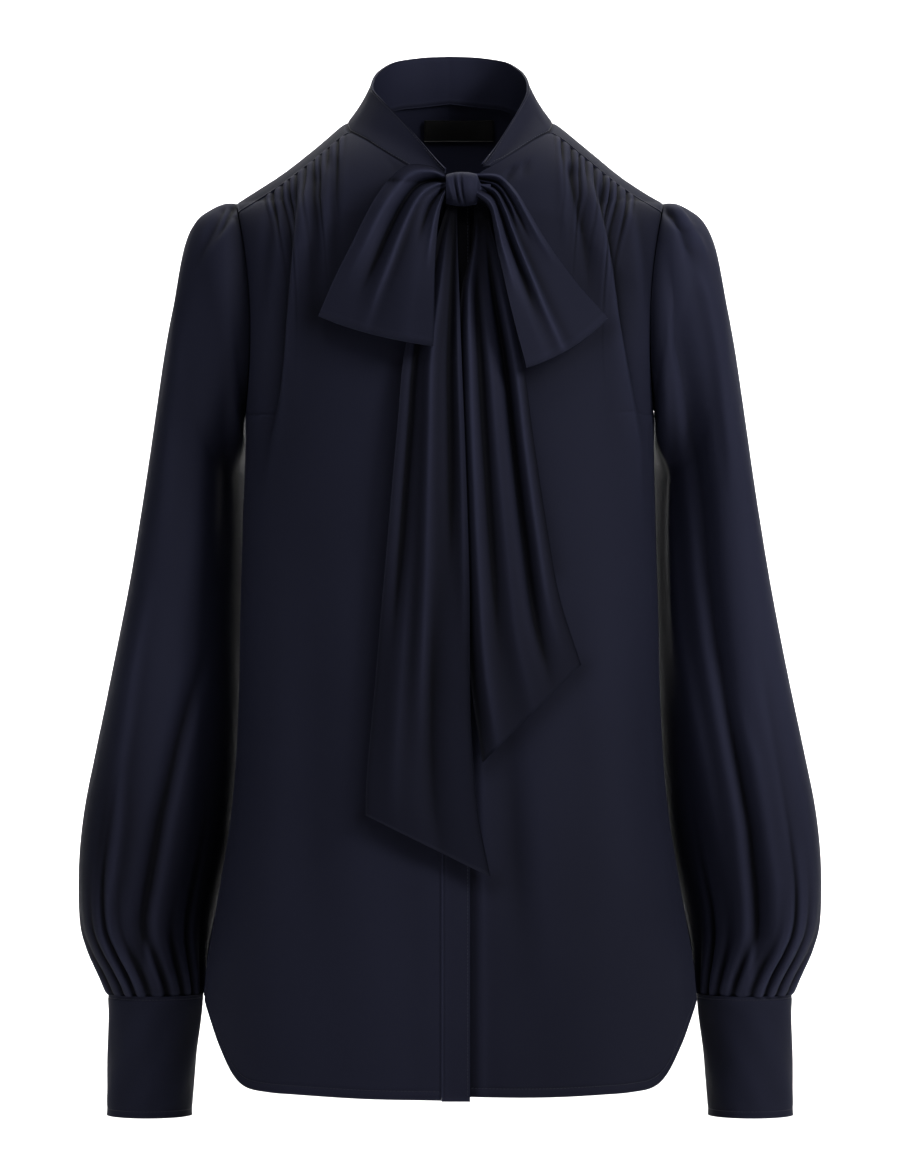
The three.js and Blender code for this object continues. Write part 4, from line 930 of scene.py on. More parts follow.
# Painted light on the left sleeve; painted shade on the side that faces the body, along the armhole seam and
# low down
SLEEVE_PAINTED_LIGHT = {RIGHT: 0.0, LEFT: 0.45}
BODY_SHADE_ANGLE, BODY_SHADE_WIDTH = math.pi + 0.35, 0.8
BY_BODY_SHADE, LOW_SLEEVE_SHADE = 0.8, 0.5
ARMHOLE_SHADE, ARMHOLE_SHADE_WIDE = 0.7, 7
RIGHT_SLEEVE_FOLDS = table(FOLD_COLUMNS, [
    ([(-157, -60), (-166, -78), (-177, -98)], 4.5, 3, -4, 0.1, 0.7),
    ([(-166, -61), (-177, -86), (-188, -116)], 4, 3, -3, 0.1, 0.7),
    ([(-157, -70), (-150, -84), (-143, -98)], 3, 3, -1.4, 0.1, 0.7),
    ([(-178, -62), (-189, -82), (-197, -120)], 4, 5, 1.5, 0.2, 0.7),
    ([(-220, -340), (-228, -381), (-233, -414), (-237, -445), (-242, -478), (-244, -520), (-248, -553),
      (-253, -583), (-252, -630)], 12, 6, 3.4, 0.25, 0.3),
    ([(-180, -385), (-186, -409), (-200, -465), (-211, -515), (-219, -561), (-225, -589), (-228, -640)],
     10, 5, -4.8, 0.25, 0.2),
    ([(-178, -150), (-182, -240), (-190, -330), (-197, -400)], 10, 14, 2.6, 0.3, 0.4),
    ([(-164, -170), (-166, -260), (-170, -360)], 5, 7, -1.8, 0.3, 0.5),
    ([(-200, -140), (-207, -240), (-214, -340)], 6, 8, 1.5, 0.3, 0.5),
    ([(-246, -470), (-256, -540), (-258, -610)], 5, 8, -1.8, 0.4, 0.4),
])
LEFT_SLEEVE_FOLDS = table(FOLD_COLUMNS, [
    ([(157, -62), (172, -81), (177, -98), (180, -126)], 5, 3.4, -4.6, 0.1, 0.6),
    ([(172, -62), (180, -78), (190, -98)], 3, 4, -2.2, 0.1, 0.7),
    ([(166, -61), (181, -80), (187, -104), (189, -130)], 4, 4, 1.8, 0.1, 0.6),
    ([(178, -100), (189, -135), (196, -171), (201, -209), (206, -245), (208, -290)], 5, 9, 3.4, 0.15, 0.4),
    ([(160, -105), (166, -160), (172, -196), (177, -245), (182, -282), (186, -332), (193, -387), (202, -437),
      (210, -478), (218, -520), (223, -569), (226, -617), (227, -650)], 4.5, 11, -6.2, 0.1, 0.12),
    ([(150, -120), (157, -196), (163, -282), (172, -387), (188, -478), (204, -569)], 9, 5, 2.8, 0.2, 0.3),
    ([(198, -400), (222, -470), (238, -560), (240, -630)], 12, 8, 2.6, 0.3, 0.3),
    ([(228, -380), (240, -450), (252, -520), (252, -600)], 6, 9, -1.8, 0.3, 0.4),
])
SLEEVE_BACK_FOLDS = table(FOLD_COLUMNS, [
    ([(162, -62), (170, -84), (178, -110)], 4, 4, -3, 0.1, 0.7),
    ([(174, -120), (196, -360), (226, -610)], 9, 14, -5, 0.2, 0.2),
    ([(200, -200), (222, -420), (247, -630)], 12, 8, 3.2, 0.3, 0.3),
    ([(160, -260), (172, -420), (198, -590)], 8, 6, 2.4, 0.3, 0.3),
    ([(236, -400), (248, -500), (250, -620)], 6, 8, -2, 0.3, 0.3),
])


# %% The sleeves
def sleeve_rings(side, steps, angles):
    step = steps[:, None]
    out_x, out_z = sleeve_at(step, "outX"), sleeve_at(step, "outZ")
    in_x, in_z = sleeve_at(step, "inX"), sleeve_at(step, "inZ")
    swing = SWING_MOST * ease(SWING_FROM, SWING_FULL, step)
    swing = swing - (SWING_MOST - SWING_AT_CUFF) * ease(SWING_FADE, SLEEVE_END, step)
    half_x = np.sqrt(((out_x - in_x) / 2) ** 2 - swing ** 2)
    x = (out_x + in_x) / 2 + half_x * np.cos(angles) + swing * np.sin(angles)
    y = HANG_BACK * ease(HANG_FROM, HANG_FULL, step) - sleeve_at(step, "deep") * np.sin(angles)
    z = (out_z + in_z) / 2 + (out_z - in_z) / 2 * np.cos(angles)
    turned = np.where(angles <= np.pi, angles, 2 * np.pi - angles)
    ahead = np.sin(angles) >= 0
    seam = [np.where(ahead, a, b) for a, b in zip(armhole(turned, FRONT), armhole(turned, BACK))]
    joined = (1 - ease(0, 1.2, step)) ** 2
    x = mix(x, seam[0] + 0.2, joined)
    y = mix(y, seam[1], joined)
    z = mix(z, seam[2], joined)
    return np.stack([side * x, y, z], axis=-1)


def sleeve(side):
    angles = np.linspace(0, 2 * np.pi, 232, endpoint=False)
    steps = np.concatenate([np.linspace(0, 1.5, 14, endpoint=False), np.linspace(1.5, 16, 70, endpoint=False),
                            np.linspace(16, SLEEVE_END, 38)])
    base = sleeve_rings(side, steps, angles)
    n = normals_of(base, "out", closed=True)
    x, z = base[..., 0], base[..., 2]
    facing = ease(0, 0.3, np.abs(np.sin(angles)))
    folds = RIGHT_SLEEVE_FOLDS if side == RIGHT else LEFT_SLEEVE_FOLDS
    front_lift = fold_lift(folds, x, z)
    back_lift = fold_lift(SLEEVE_BACK_FOLDS, x * side, z)
    settled = ease(0, 0.5, steps) * ease(-0.4, 1.6, SLEEVE_END - steps)
    lift = np.where(np.sin(angles) > 0, front_lift, back_lift) * facing * settled[:, None]
    above = z - sleeve_at(SLEEVE_END, "outZ")
    count = angles * CUFF_GATHERS / (2 * np.pi)
    reach = np.interp(count, np.arange(CUFF_GATHERS + 1), CUFF_REACH + CUFF_REACH[:1])
    deep = np.interp(count, np.arange(CUFF_GATHERS + 1), CUFF_DEPTH + CUFF_DEPTH[:1])
    pinch = 1 - 2 * (0.5 + 0.5 * np.cos(2 * np.pi * (count + 0.1 * np.sin(5 * angles)))) ** 2
    swell = 0.75 + 0.55 * ease(0, 18, above)
    lift = lift + deep * pinch * swell * np.exp(-(above / reach) ** 1.5)
    along = lengths_along(base, 0)
    lift = lift + seam_dip(along, 0.5) + seam_dip(along[-1:] - along, 0.6)
    # Painted shade beside the body, along the armhole seam and towards the cuff
    by_body = np.exp(-((angles - BODY_SHADE_ANGLE) / BODY_SHADE_WIDTH) ** 2)
    by_seam = np.exp(-(along / ARMHOLE_SHADE_WIDE) ** 2)
    shade = SLEEVE_PAINTED_LIGHT[side] - BY_BODY_SHADE * by_body - ARMHOLE_SHADE * by_seam
    shade -= LOW_SLEEVE_SHADE * ease(-400, -560, z)
    points = base + n * lift[..., None]
    obj = cloth(f"sleeve_{SIDES[side]}_cloth", points, "out", THICK, closed=True, shade=shade)
    dress(obj, [f"sleeve_{SIDES[side]}"], CREPE)


sleeve(RIGHT)
sleeve(LEFT)

# %% [markdown]
# ## The cuffs
# Each cuff is a deep double band, closed by two buttons at the back of the wrist, where
# one end lies over the other.

# %% The cuffs
CUFF = table("z outX inX deep", [
    (-646.3, 254.4, 183, 35),
    (-667, 254.5, 185.8, 34.3),
    (-692, 254.7, 188.4, 33.6),
    (-736.3, 255, 192, 32.5),
])
CUFF_TOP_Z, CUFF_LOW_Z = -646.3, -736.3
cuff_at = reader(CUFF, "z")
CUFF_START, CUFF_OVERLAP, CUFF_EASE = 250, 31, 40
CUFF_THICK = 1.8
# Painted shade over the cuff, deeper on the side towards the body
CUFF_SHADE, CUFF_BY_BODY_SHADE = 0.15, 0.6


def cuff_lift(degrees):
    over = CUFF_START + 360
    return 2.4 * ease(over - CUFF_EASE, over - 4, degrees)


def cuff_grid(side, z, degrees):
    angle = np.radians(degrees)
    half = (cuff_at(z, "outX") - cuff_at(z, "inX")) / 2
    middle = (cuff_at(z, "outX") + cuff_at(z, "inX")) / 2
    deep = cuff_at(z, "deep")
    x = side * (middle + half * np.cos(angle))
    return np.stack([x, HANG_BACK - deep * np.sin(angle), z + 0 * angle], axis=-1)


def cuff_piece(side):
    degrees = np.linspace(CUFF_START, CUFF_START + 360 + CUFF_OVERLAP, 200)
    z = np.concatenate([np.linspace(CUFF_TOP_Z, CUFF_TOP_Z - 4, 7), np.linspace(-652, -731, 34),
                        np.linspace(CUFF_LOW_Z + 4, CUFF_LOW_Z, 7)])[:, None]
    base = cuff_grid(side, z, degrees)
    centre = np.array([side * 221.5, HANG_BACK, 0])
    outward = base - centre
    outward[..., 2] = 0
    n = normals_of(base, outward)
    soft = 0.35 * np.sin(np.radians(degrees) * 3 + z / 17) + 0.25 * np.sin(np.radians(degrees) * 7 - z / 9)
    from_top, from_low = CUFF_TOP_Z - z, z - CUFF_LOW_Z
    inside = ease(0, 14, from_top) * ease(0, 14, from_low)
    edges = 0.3 * np.exp(-(from_low / 1.6) ** 2) + seam_dip(from_top, 0.5)
    stitched = -0.25 * np.exp(-((from_low - 5) / 0.7) ** 2) - 0.25 * np.exp(-((from_top - 2.4) / 0.7) ** 2)
    lift = cuff_lift(degrees) + soft * inside + edges + stitched
    points = base + n * lift[..., None]
    SEAM_LINES["cuff_stitches"] += [(points, outward, 5), (points, outward, -2.4),
                                    (points.transpose(1, 0, 2), outward.transpose(1, 0, 2), 2)]
    # Painted shade, deepest on the side facing the body
    by_body = np.cos(np.radians(degrees) - np.pi)
    shade = -CUFF_SHADE - CUFF_BY_BODY_SHADE * ease(0.2, 1, by_body) + 0 * z
    obj = cloth(f"cuff_{SIDES[side]}_cloth", points, outward, CUFF_THICK, shade=shade)
    dress(obj, [f"cuff_{SIDES[side]}"], CREPE)


cuff_piece(RIGHT)
cuff_piece(LEFT)

# %% [markdown]
# ## The bow
# The long ends of the collar band are tied once. Each loop is a doubled ribbon of cloth
# that leaves the knot in pleats, opens out, and turns back behind itself. The tails hang
# from the knot in long soft folds and end in a slanted cut.

# %% The loops
LOOPS = {
    RIGHT: table("along upX upZ lowX lowZ", [
        (0, -3.6, -46, -3.6, -61),
        (0.1, -14, -41, -6, -69),
        (0.22, -30, -40.5, -8.3, -82),
        (0.34, -43, -50, -9.7, -97),
        (0.48, -56, -69, -10.7, -114),
        (0.64, -70, -97, -11.2, -131),
        (0.82, -83, -123, -11.4, -149),
        (1, -93.4, -146.5, -11.8, -168),
    ]),
    LEFT: table("along upX upZ lowX lowZ", [
        (0, 18.5, -46, 18.5, -62),
        (0.1, 35.5, -47, 28, -72),
        (0.22, 47, -58, 31.5, -88),
        (0.34, 55, -71, 34, -103),
        (0.48, 66, -90, 38, -120),
        (0.64, 80, -111, 42, -138),
        (0.82, 94, -129, 47, -158),
        (1, 112.6, -148.8, 54.4, -185.4),
    ]),
}
LOOP_DEPTH = table("along lift gap", [
    (0, 9, 5),
    (0.1, 8.5, 9),
    (0.34, 8, 17),
    (0.64, 7.5, 20),
    (1, 7, 13),
])
loop_depth = reader(LOOP_DEPTH, "along")
LOOP_OVER_TAIL = 4.5
TIE_THICK = 1.1
# Painted shade where a loop leaves the knot and on its turned-back layer
LOOP_ROOT_SHADE, LOOP_BACK_SHADE, ROOT_REACH = 0.5, 0.5, 0.06


def loop_flat(edges, along, across):
    x = mix(edges(along, "upX"), edges(along, "lowX"), across)
    z = mix(edges(along, "upZ"), edges(along, "lowZ"), across)
    return x, z


# Creases of each loop: where they start and end across the ribbon, how far they run
LOOP_CREASES = {
    RIGHT: table("start end reach width out", [
        (0.16, 0.12, 0.9, 0.06, 2.6),
        (0.36, 0.28, 0.95, 0.075, -8),
        (0.5, 0.42, 1.15, 0.06, 5),
        (0.74, 0.68, 0.5, 0.08, -7),
        (0.9, 0.88, 0.6, 0.05, 2.8),
    ]),
    LEFT: table("start end reach width out", [
        (0.08, 0.1, 0.7, 0.06, 2.4),
        (0.22, 0.3, 0.5, 0.05, -3.5),
        (0.38, 0.42, 0.4, 0.07, -7),
        (0.47, 0.57, 1.4, 0.06, 5),
        (0.64, 0.7, 0.9, 0.07, -5),
        (0.86, 0.86, 0.7, 0.06, 2.6),
    ]),
}
# The turned end of a loop bows out a little between its corners
LOOP_BOW = {RIGHT: 0.025, LEFT: 0.03}


def loop_end(side, across):
    return 1 - LOOP_BOW[side] * (1 - 4 * across * (1 - across))


def loop(side):
    edges = reader(LOOPS[side], "along")
    across = np.linspace(0, 1, 80)[None, :]
    front = np.linspace(0, 1, 58)
    turning = np.linspace(0, np.pi, 18)[1:-1]
    along = np.concatenate([front, np.ones(len(turning)), front[::-1]])[:, None]
    turn = np.concatenate([np.zeros(len(front)), turning, np.full(len(front), np.pi)])[:, None] + 0 * across
    along = along * (1 + (loop_end(side, across) - 1) * ease(0.3, 1, along))
    x, z = loop_flat(edges, along, across)
    ahead_x, ahead_z = loop_flat(edges, np.minimum(along + 0.03, 1), across)
    behind_x, behind_z = loop_flat(edges, np.minimum(along + 0.03, 1) - 0.03, across)
    way = np.stack([ahead_x - behind_x, 0 * ahead_x, ahead_z - behind_z], axis=-1)
    way /= np.linalg.norm(way, axis=-1, keepdims=True)
    radius = loop_depth(along, "gap") / 2
    over = LOOP_OVER_TAIL * ease(0.45, 0.8, across)
    rest = torso_depth(x, np.minimum(z, -52), FRONT) - loop_depth(along, "lift") - over - 1.6
    creases = np.zeros_like(x)
    for crease in LOOP_CREASES[side]:
        middle = mix(crease["start"], crease["end"], along)
        shape = np.exp(-np.abs((across - middle) / crease["width"]) ** 1.6)
        grown = ease(0, 0.1, along + 0.03) * (1 - ease(0.4, 1, along / crease["reach"]))
        creases += crease["out"] * shape * grown
    y = rest - radius - radius * np.cos(turn) - creases * np.where(turn < np.pi / 2, 1, 0.4)
    points = np.stack([x, y, z], axis=-1) + way * (radius * np.sin(turn))[..., None]
    facing = np.zeros_like(points)
    facing[:50, :, 1] = -1
    shade = -LOOP_ROOT_SHADE * np.exp(-(along / ROOT_REACH) ** 2) - LOOP_BACK_SHADE * (turn > np.pi / 2)
    obj = cloth(f"tie_loop_{SIDES[side]}_cloth", points, facing, TIE_THICK, shade=shade)
    dress(obj, [f"tie_loop_{SIDES[side]}"], TIE_CREPE)


loop(RIGHT)
loop(LEFT)

# %% The tails
TAILS = {
    RIGHT: table("along aX aZ bX bZ", [
        (0, -2, -68.9, 5, -70.3),
        (0.05, -9, -92, 5.4, -95),
        (0.12, -17.6, -121, 6.6, -130),
        (0.24, -32, -172, 8.6, -186),
        (0.36, -37.5, -226, 11, -244),
        (0.56, -45.6, -318, 14, -340),
        (0.78, -54, -415, 14.8, -440),
        (0.92, -60, -483, 20.5, -508),
        (1, -60.5, -508, 29, -552),
    ]),
    LEFT: table("along aX aZ bX bZ", [
        (0, 17.6, -70, 27, -68.7),
        (0.06, 16.4, -95, 30, -88),
        (0.16, 8, -134, 39, -123),
        (0.32, 6, -197, 52, -180),
        (0.5, 8, -267, 60, -238),
        (0.7, 11, -346, 70, -303),
        (0.86, 15, -412, 79, -352),
        (1, 23.4, -470, 94.4, -400),
    ]),
}
TAIL_FOLDS = {
    RIGHT: table("across drift left right out start end", [
        (0.2, -0.05, 0.06, 0.1, -3.2, 0, 0.75),
        (0.45, 0.06, 0.1, 0.14, 4.6, 0, 0.9),
        (0.78, 0, 0.08, 0.1, -3, 0, 0.6),
        (0.93, 0, 0.05, 0.08, 1.6, 0, 0.7),
        (0.52, 0.1, 0.14, 0.16, -4.2, 0.55, 1.1),
        (0.3, -0.05, 0.12, 0.1, 2.2, 0.5, 1.05),
    ]),
    LEFT: table("across drift left right out start end", [
        (0.18, -0.02, 0.08, 0.13, 5, 0, 1.1),
        (0.5, 0.03, 0.1, 0.14, 3, 0.1, 1.1),
        (0.71, 0.02, 0.06, 0.08, -6.5, 0.06, 1.02),
        (0.88, 0, 0.07, 0.09, 3.2, 0.08, 1),
        (0.36, -0.03, 0.06, 0.08, -2.4, 0.1, 0.9),
        (0.02, 0, 0.1, 0.1, -4.5, 0.1, 1.1),
    ]),
}
TAIL_LIFT_NEAR, TAIL_LIFT_FAR = 7.5, 12
# Painted shade over the tails, deepest where they leave the knot
TAIL_SHADE, TAIL_ROOT_SHADE = 0.45, 0.6


def tail(side):
    edges = reader(TAILS[side], "along")
    along = np.linspace(0, 1, 140)[:, None] ** 1.1
    across = np.linspace(0, 1, 80)[None, :]
    x = mix(edges(along, "aX"), edges(along, "bX"), across)
    z = mix(edges(along, "aZ"), edges(along, "bZ"), across)
    lift = mix(TAIL_LIFT_NEAR, TAIL_LIFT_FAR, ease(-120, -300, z))
    folds = np.zeros_like(x)
    for fold in TAIL_FOLDS[side]:
        away = across - fold["across"] - fold["drift"] * along
        width = np.where(away < 0, fold["left"], fold["right"])
        grown = ease(fold["start"] - 0.02, fold["start"] + 0.22, along) * ease(0, 0.25, fold["end"] - along)
        folds += fold["out"] * np.exp(-np.abs(away / width) ** 1.7) * grown
    lift = lift + folds * mix(0.35, 1, ease(0, 0.3, along))
    edge = np.minimum(lengths_along(np.stack([x, 0 * x, z], -1), 1), 400)
    side_gap = np.minimum(edge, edge[:, -1:] - edge)
    lift = lift + 0.3 * np.exp(-(side_gap / 1.2) ** 2)
    points = np.stack([x, torso_depth(x, z, FRONT) - lift, z], axis=-1)
    tail_shade = -TAIL_SHADE - TAIL_ROOT_SHADE * np.exp(-(along / ROOT_REACH) ** 2) + 0 * across
    obj = cloth(f"tie_tail_{SIDES[side]}_cloth", points, np.array([0.0, -1, 0]), TIE_THICK, shade=tail_shade)
    dress(obj, [f"tie_tail_{SIDES[side]}"], TIE_CREPE)


tail(RIGHT)
tail(LEFT)

# %% The knot
KNOT_FROM, KNOT_TO, KNOT_Y, KNOT_Z = -3, 29.3, -106.3, -57.5
KNOT_DEEP, KNOT_TALL = 11, 12.4
# Painted shade on the knot's underside
KNOT_TAIL_CROWN, KNOT_UNDER_SHADE = 0.3, 0.5

KNOT_CREASES = table("at width out", [
    (0.1, 0.05, 0.7),
    (0.24, 0.028, -1.5),
    (0.31, 0.022, 0.6),
    (0.38, 0.026, -1.3),
    (0.52, 0.1, 0.9),
    (0.68, 0.05, -0.8),
])


def knot():
    share = np.concatenate([[0, 0.0], np.linspace(0, 1, 90), [1, 1.0]])[:, None]
    angle = np.linspace(0, 2 * np.pi, 120, endpoint=False)[None, :]
    barrel = 0.8 + 0.2 * np.sin(np.pi * np.minimum(share / 0.74, 1)) ** 0.6
    crown = mix(barrel, KNOT_TAIL_CROWN, ease(0.68, 0.8, share))
    bent = share + 0.06 * np.sin(angle) + 0.02 * np.sin(2 * angle + 5 * share)
    front = ease(-0.4, 0.2, np.cos(angle))
    groove = np.zeros_like(bent)
    for crease in KNOT_CREASES:
        groove += crease["out"] * np.exp(-((bent - crease["at"]) / crease["width"]) ** 2)
    groove *= front
    close = np.ones_like(share)
    close[0] = close[-1] = 0.02
    close[1] = close[-2] = 0.5
    y = KNOT_Y - (KNOT_DEEP * crown + groove) * close * np.cos(angle)
    z = KNOT_Z + KNOT_TALL * crown * close * np.sin(angle)
    x = mix(KNOT_FROM, KNOT_TO, share) + 0 * angle
    points = np.stack([x, y, z], axis=-1)
    mesh = bpy.data.meshes.new("tie_knot_cloth")
    rows, columns, _ = points.shape
    faces = face_grid(rows, columns, True)
    caps = [list(range(columns)), [(rows - 1) * columns + c for c in reversed(range(columns))]]
    mesh.from_pydata((points.reshape(-1, 3) * MM).tolist(), [], faces[:, ::-1].tolist() + caps)
    mesh.uv_layers.new(name="cloth")
    ways = normals_of(points, "out", closed=True)
    # Painted shade on the underside, added to the folds' painted shade
    under = -KNOT_UNDER_SHADE * ease(0.1, -0.9, np.sin(angle))
    paint_shade(mesh, (fold_shade_of(points, ways, True) + under).reshape(-1))
    mesh.polygons.foreach_set("use_smooth", np.ones(len(mesh.polygons), dtype=bool))
    obj = bpy.data.objects.new("tie_knot_cloth", mesh)
    bpy.context.scene.collection.objects.link(obj)
    dress(obj, ["tie_knot"], TIE_CREPE)
    print("knot has", len(mesh.polygons), "faces")


knot()

# %% [markdown]
# ## Stitches
# Hems, cuffs, the placket and the neck band are held by lockstitch in a matching thread.
# Each stitch is a small hump with a few faces, and each seam's stitches are one mesh.

# %% The thread and its stitches
STITCH_PITCH, STITCH_LENGTH, STITCH_RADIUS = 2.6, 1.9, 0.2
STITCH_RINGS = table("along wide", [(-0.5, 0.35), (-0.32, 0.9), (0, 1), (0.32, 0.9), (0.5, 0.35)])
STITCH_SIDES = 4
THREAD_DEEP = (0.006, 0.0066, 0.0115, 1)


def line_at(points, facing, distance):
    normals = normals_of(points, facing)
    along = lengths_along(points, 0)
    target = along[-1] - distance if distance > 0 else 0 * along[-1] - distance
    columns = range(points.shape[1])
    spots = [[np.interp(target[c], along[:, c], points[:, c, k]) for k in range(3)] for c in columns]
    ways = [[np.interp(target[c], along[:, c], normals[:, c, k]) for k in range(3)] for c in columns]
    return np.array(spots), np.array(ways)


def stitch_run(spots, ways):
    run = np.concatenate([[0], np.cumsum(np.linalg.norm(np.diff(spots, axis=0), axis=1))])
    middles = np.arange(STITCH_PITCH, run[-1] - STITCH_PITCH / 2, STITCH_PITCH)

    def at(distance, values):
        return np.stack([np.interp(distance, run, values[:, k]) for k in range(3)], axis=-1)

    ahead = at(middles + 0.3, spots) - at(middles - 0.3, spots)
    ahead /= np.linalg.norm(ahead, axis=1, keepdims=True)
    up = at(middles, ways)
    up /= np.linalg.norm(up, axis=1, keepdims=True)
    aside = np.cross(ahead, up)
    rings = []
    for ring in STITCH_RINGS:
        for corner in range(STITCH_SIDES):
            angle = math.pi / 4 + corner * math.pi / 2
            reach = ring["wide"] * STITCH_RADIUS
            rings.append(at(middles, spots) + ahead * (ring["along"] * STITCH_LENGTH)
                         + (up * math.sin(angle) + aside * math.cos(angle)) * reach)
    return np.stack(rings, axis=1)


def stitches(name, lines):
    runs = np.concatenate([stitch_run(*line) for line in lines])
    per = runs.shape[1]
    template = []
    for ring in range(len(STITCH_RINGS) - 1):
        for corner in range(STITCH_SIDES):
            a, b = ring * STITCH_SIDES + corner, ring * STITCH_SIDES + (corner + 1) % STITCH_SIDES
            template.append([a, b, b + STITCH_SIDES, a + STITCH_SIDES])
    template += [list(range(STITCH_SIDES))[::-1], list(range(per - STITCH_SIDES, per))]
    faces = (np.array(template)[None] + per * np.arange(len(runs))[:, None, None]).reshape(-1, 4)
    mesh = bpy.data.meshes.new(name)
    mesh.from_pydata((runs.reshape(-1, 3) * MM).tolist(), [], faces.tolist())
    mesh.uv_layers.new(name="cloth")
    mesh.polygons.foreach_set("use_smooth", np.ones(len(mesh.polygons), dtype=bool))
    obj = bpy.data.objects.new(name, mesh)
    bpy.context.scene.collection.objects.link(obj)
    obj.data.materials.append(THREAD)
    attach(obj, "root")
    print(name, "has", len(runs), "stitches")


def thread_finish():
    finish = Finish("navy_thread")
    place = finish.node("ShaderNodeTexCoord", output="Object")
    twist = finish.node("ShaderNodeTexWave", {"bands_direction": "DIAGONAL"}, {
        "Vector": place, "Scale": 1200,
    })
    color = finish.node("ShaderNodeMix", {"data_type": "RGBA"}, {
        0: twist, 6: THREAD_DEEP, 7: NAVY_PALE,
    }, output=2)
    surface = finish.node("ShaderNodeBsdfPrincipled", {}, {
        "Base Color": color, "Roughness": 0.45 + twist * 0.1, "Specular IOR Level": 0.35,
    })
    finish.node("ShaderNodeOutputMaterial", {}, {"Surface": surface})
    return finish.material


THREAD = thread_finish()
for seam, lines in SEAM_LINES.items():
    stitches(seam, [line_at(*line) for line in lines])

# %% [markdown]
# ## The cuff buttons
# Each cuff closes with two small resin buttons at the back of the wrist. A button is a
# disc with a dished face and four holes: a cylinder is inset, sunk and rounded, and four
# thin cylinders are cut from it.

# %% Model one button
BUTTON_RADIUS, BUTTON_THICK, BUTTON_TURN = 5, 2, 265
BUTTON_ZS = [-669, -713]
BUTTON_GAP = 0.3
RESIN_DEEP = (0.004, 0.0045, 0.008, 1)
RESIN_PALE = (0.009, 0.01, 0.018, 1)
HOLE_RADIUS, HOLE_PLACE = 0.65, 1.25
DISH_RIM, DISH_DEPTH, EDGE_ROUND = 1.1, 0.45, 0.3


def add_cylinder(radius, depth, place=(0, 0, 0), sides=48):
    bpy.ops.object.select_all(action="DESELECT")
    bpy.ops.mesh.primitive_cylinder_add(vertices=sides, radius=radius * MM, depth=depth * MM,
                                        location=[v * MM for v in place])
    return bpy.context.object


def model_button():
    button = add_cylinder(BUTTON_RADIUS, BUTTON_THICK)
    bpy.ops.object.mode_set(mode="EDIT")
    bpy.ops.mesh.select_mode(type="FACE")
    bpy.ops.mesh.select_all(action="DESELECT")
    bpy.ops.object.mode_set(mode="OBJECT")
    for face in button.data.polygons:
        face.select = face.normal.z > 0.9
    bpy.ops.object.mode_set(mode="EDIT")
    bpy.ops.mesh.inset(thickness=DISH_RIM * MM)
    bpy.ops.transform.translate(value=(0, 0, -DISH_DEPTH * MM))
    bpy.ops.object.mode_set(mode="OBJECT")
    for x, y in ((-1, -1), (-1, 1), (1, -1), (1, 1)):
        drill = add_cylinder(HOLE_RADIUS, BUTTON_THICK * 2, (x * HOLE_PLACE, y * HOLE_PLACE, 0), 20)
        cut = button.modifiers.new("hole", "BOOLEAN")
        cut.object = drill
        cut.operation = "DIFFERENCE"
        cut.solver = "EXACT"
        bpy.context.view_layer.objects.active = button
        bpy.ops.object.modifier_apply(modifier=cut.name)
        bpy.data.objects.remove(drill)
    edge = button.modifiers.new("edge", "BEVEL")
    edge.width = EDGE_ROUND * MM
    edge.segments = 3
    edge.angle_limit = math.radians(40)
    bpy.ops.object.modifier_apply(modifier=edge.name)
    print("button has", len(button.data.polygons), "faces")
    return button


def resin_finish():
    finish = Finish("navy_resin")
    place = finish.node("ShaderNodeTexCoord", output="Object")
    swirl = finish.node("ShaderNodeTexNoise", {}, {
        "Vector": place, "Scale": 260, "Detail": 3, "Distortion": 1.5,
    })
    color = finish.node("ShaderNodeMix", {"data_type": "RGBA"}, {
        0: swirl, 6: RESIN_DEEP, 7: RESIN_PALE,
    }, output=2)
    surface = finish.node("ShaderNodeBsdfPrincipled", {}, {
        "Base Color": color, "Roughness": 0.24 + swirl * 0.12, "Specular IOR Level": 0.5,
    })
    finish.node("ShaderNodeOutputMaterial", {}, {"Surface": surface})
    return finish.material


# %% Sew the buttons to the cuffs
def sew_buttons():
    model = model_button()
    resin = resin_finish()
    for side, word in SIDES.items():
        for number, z in enumerate(BUTTON_ZS, 1):
            spot = cuff_grid(side, z, np.array(float(BUTTON_TURN)))
            angle = math.radians(BUTTON_TURN)
            half = (cuff_at(z, "outX") - cuff_at(z, "inX")) / 2
            deep = cuff_at(z, "deep")
            out = Vector((side * math.cos(angle) / half, -math.sin(angle) / deep, 0)).normalized()
            place = Vector(spot) + out * (cuff_lift(BUTTON_TURN + 360) + BUTTON_GAP + BUTTON_THICK / 2)
            turn = out.to_track_quat("Z", "Y").to_matrix().to_4x4()
            mesh = model.data.copy()
            mesh.transform(Matrix.Translation(place * MM) @ turn)
            obj = bpy.data.objects.new(f"cuff_button_{word}_{number}_resin", mesh)
            bpy.context.scene.collection.objects.link(obj)
            dress(obj, [f"cuff_button_{word}_{number}"], resin)
    bpy.data.objects.remove(model)


sew_buttons()

# %% [markdown]
# ## The label
# A small black woven label is sewn inside the back of the neck. It is left bare.

# %% The neck label
LABEL_BLACK = (0.0022, 0.0022, 0.0026, 1)
LABEL_FROM, LABEL_TO, LABEL_TOP, LABEL_LOW = -20, 34, 9.5, -6
LABEL_INSET, LABEL_THICK = 2.6, 0.5


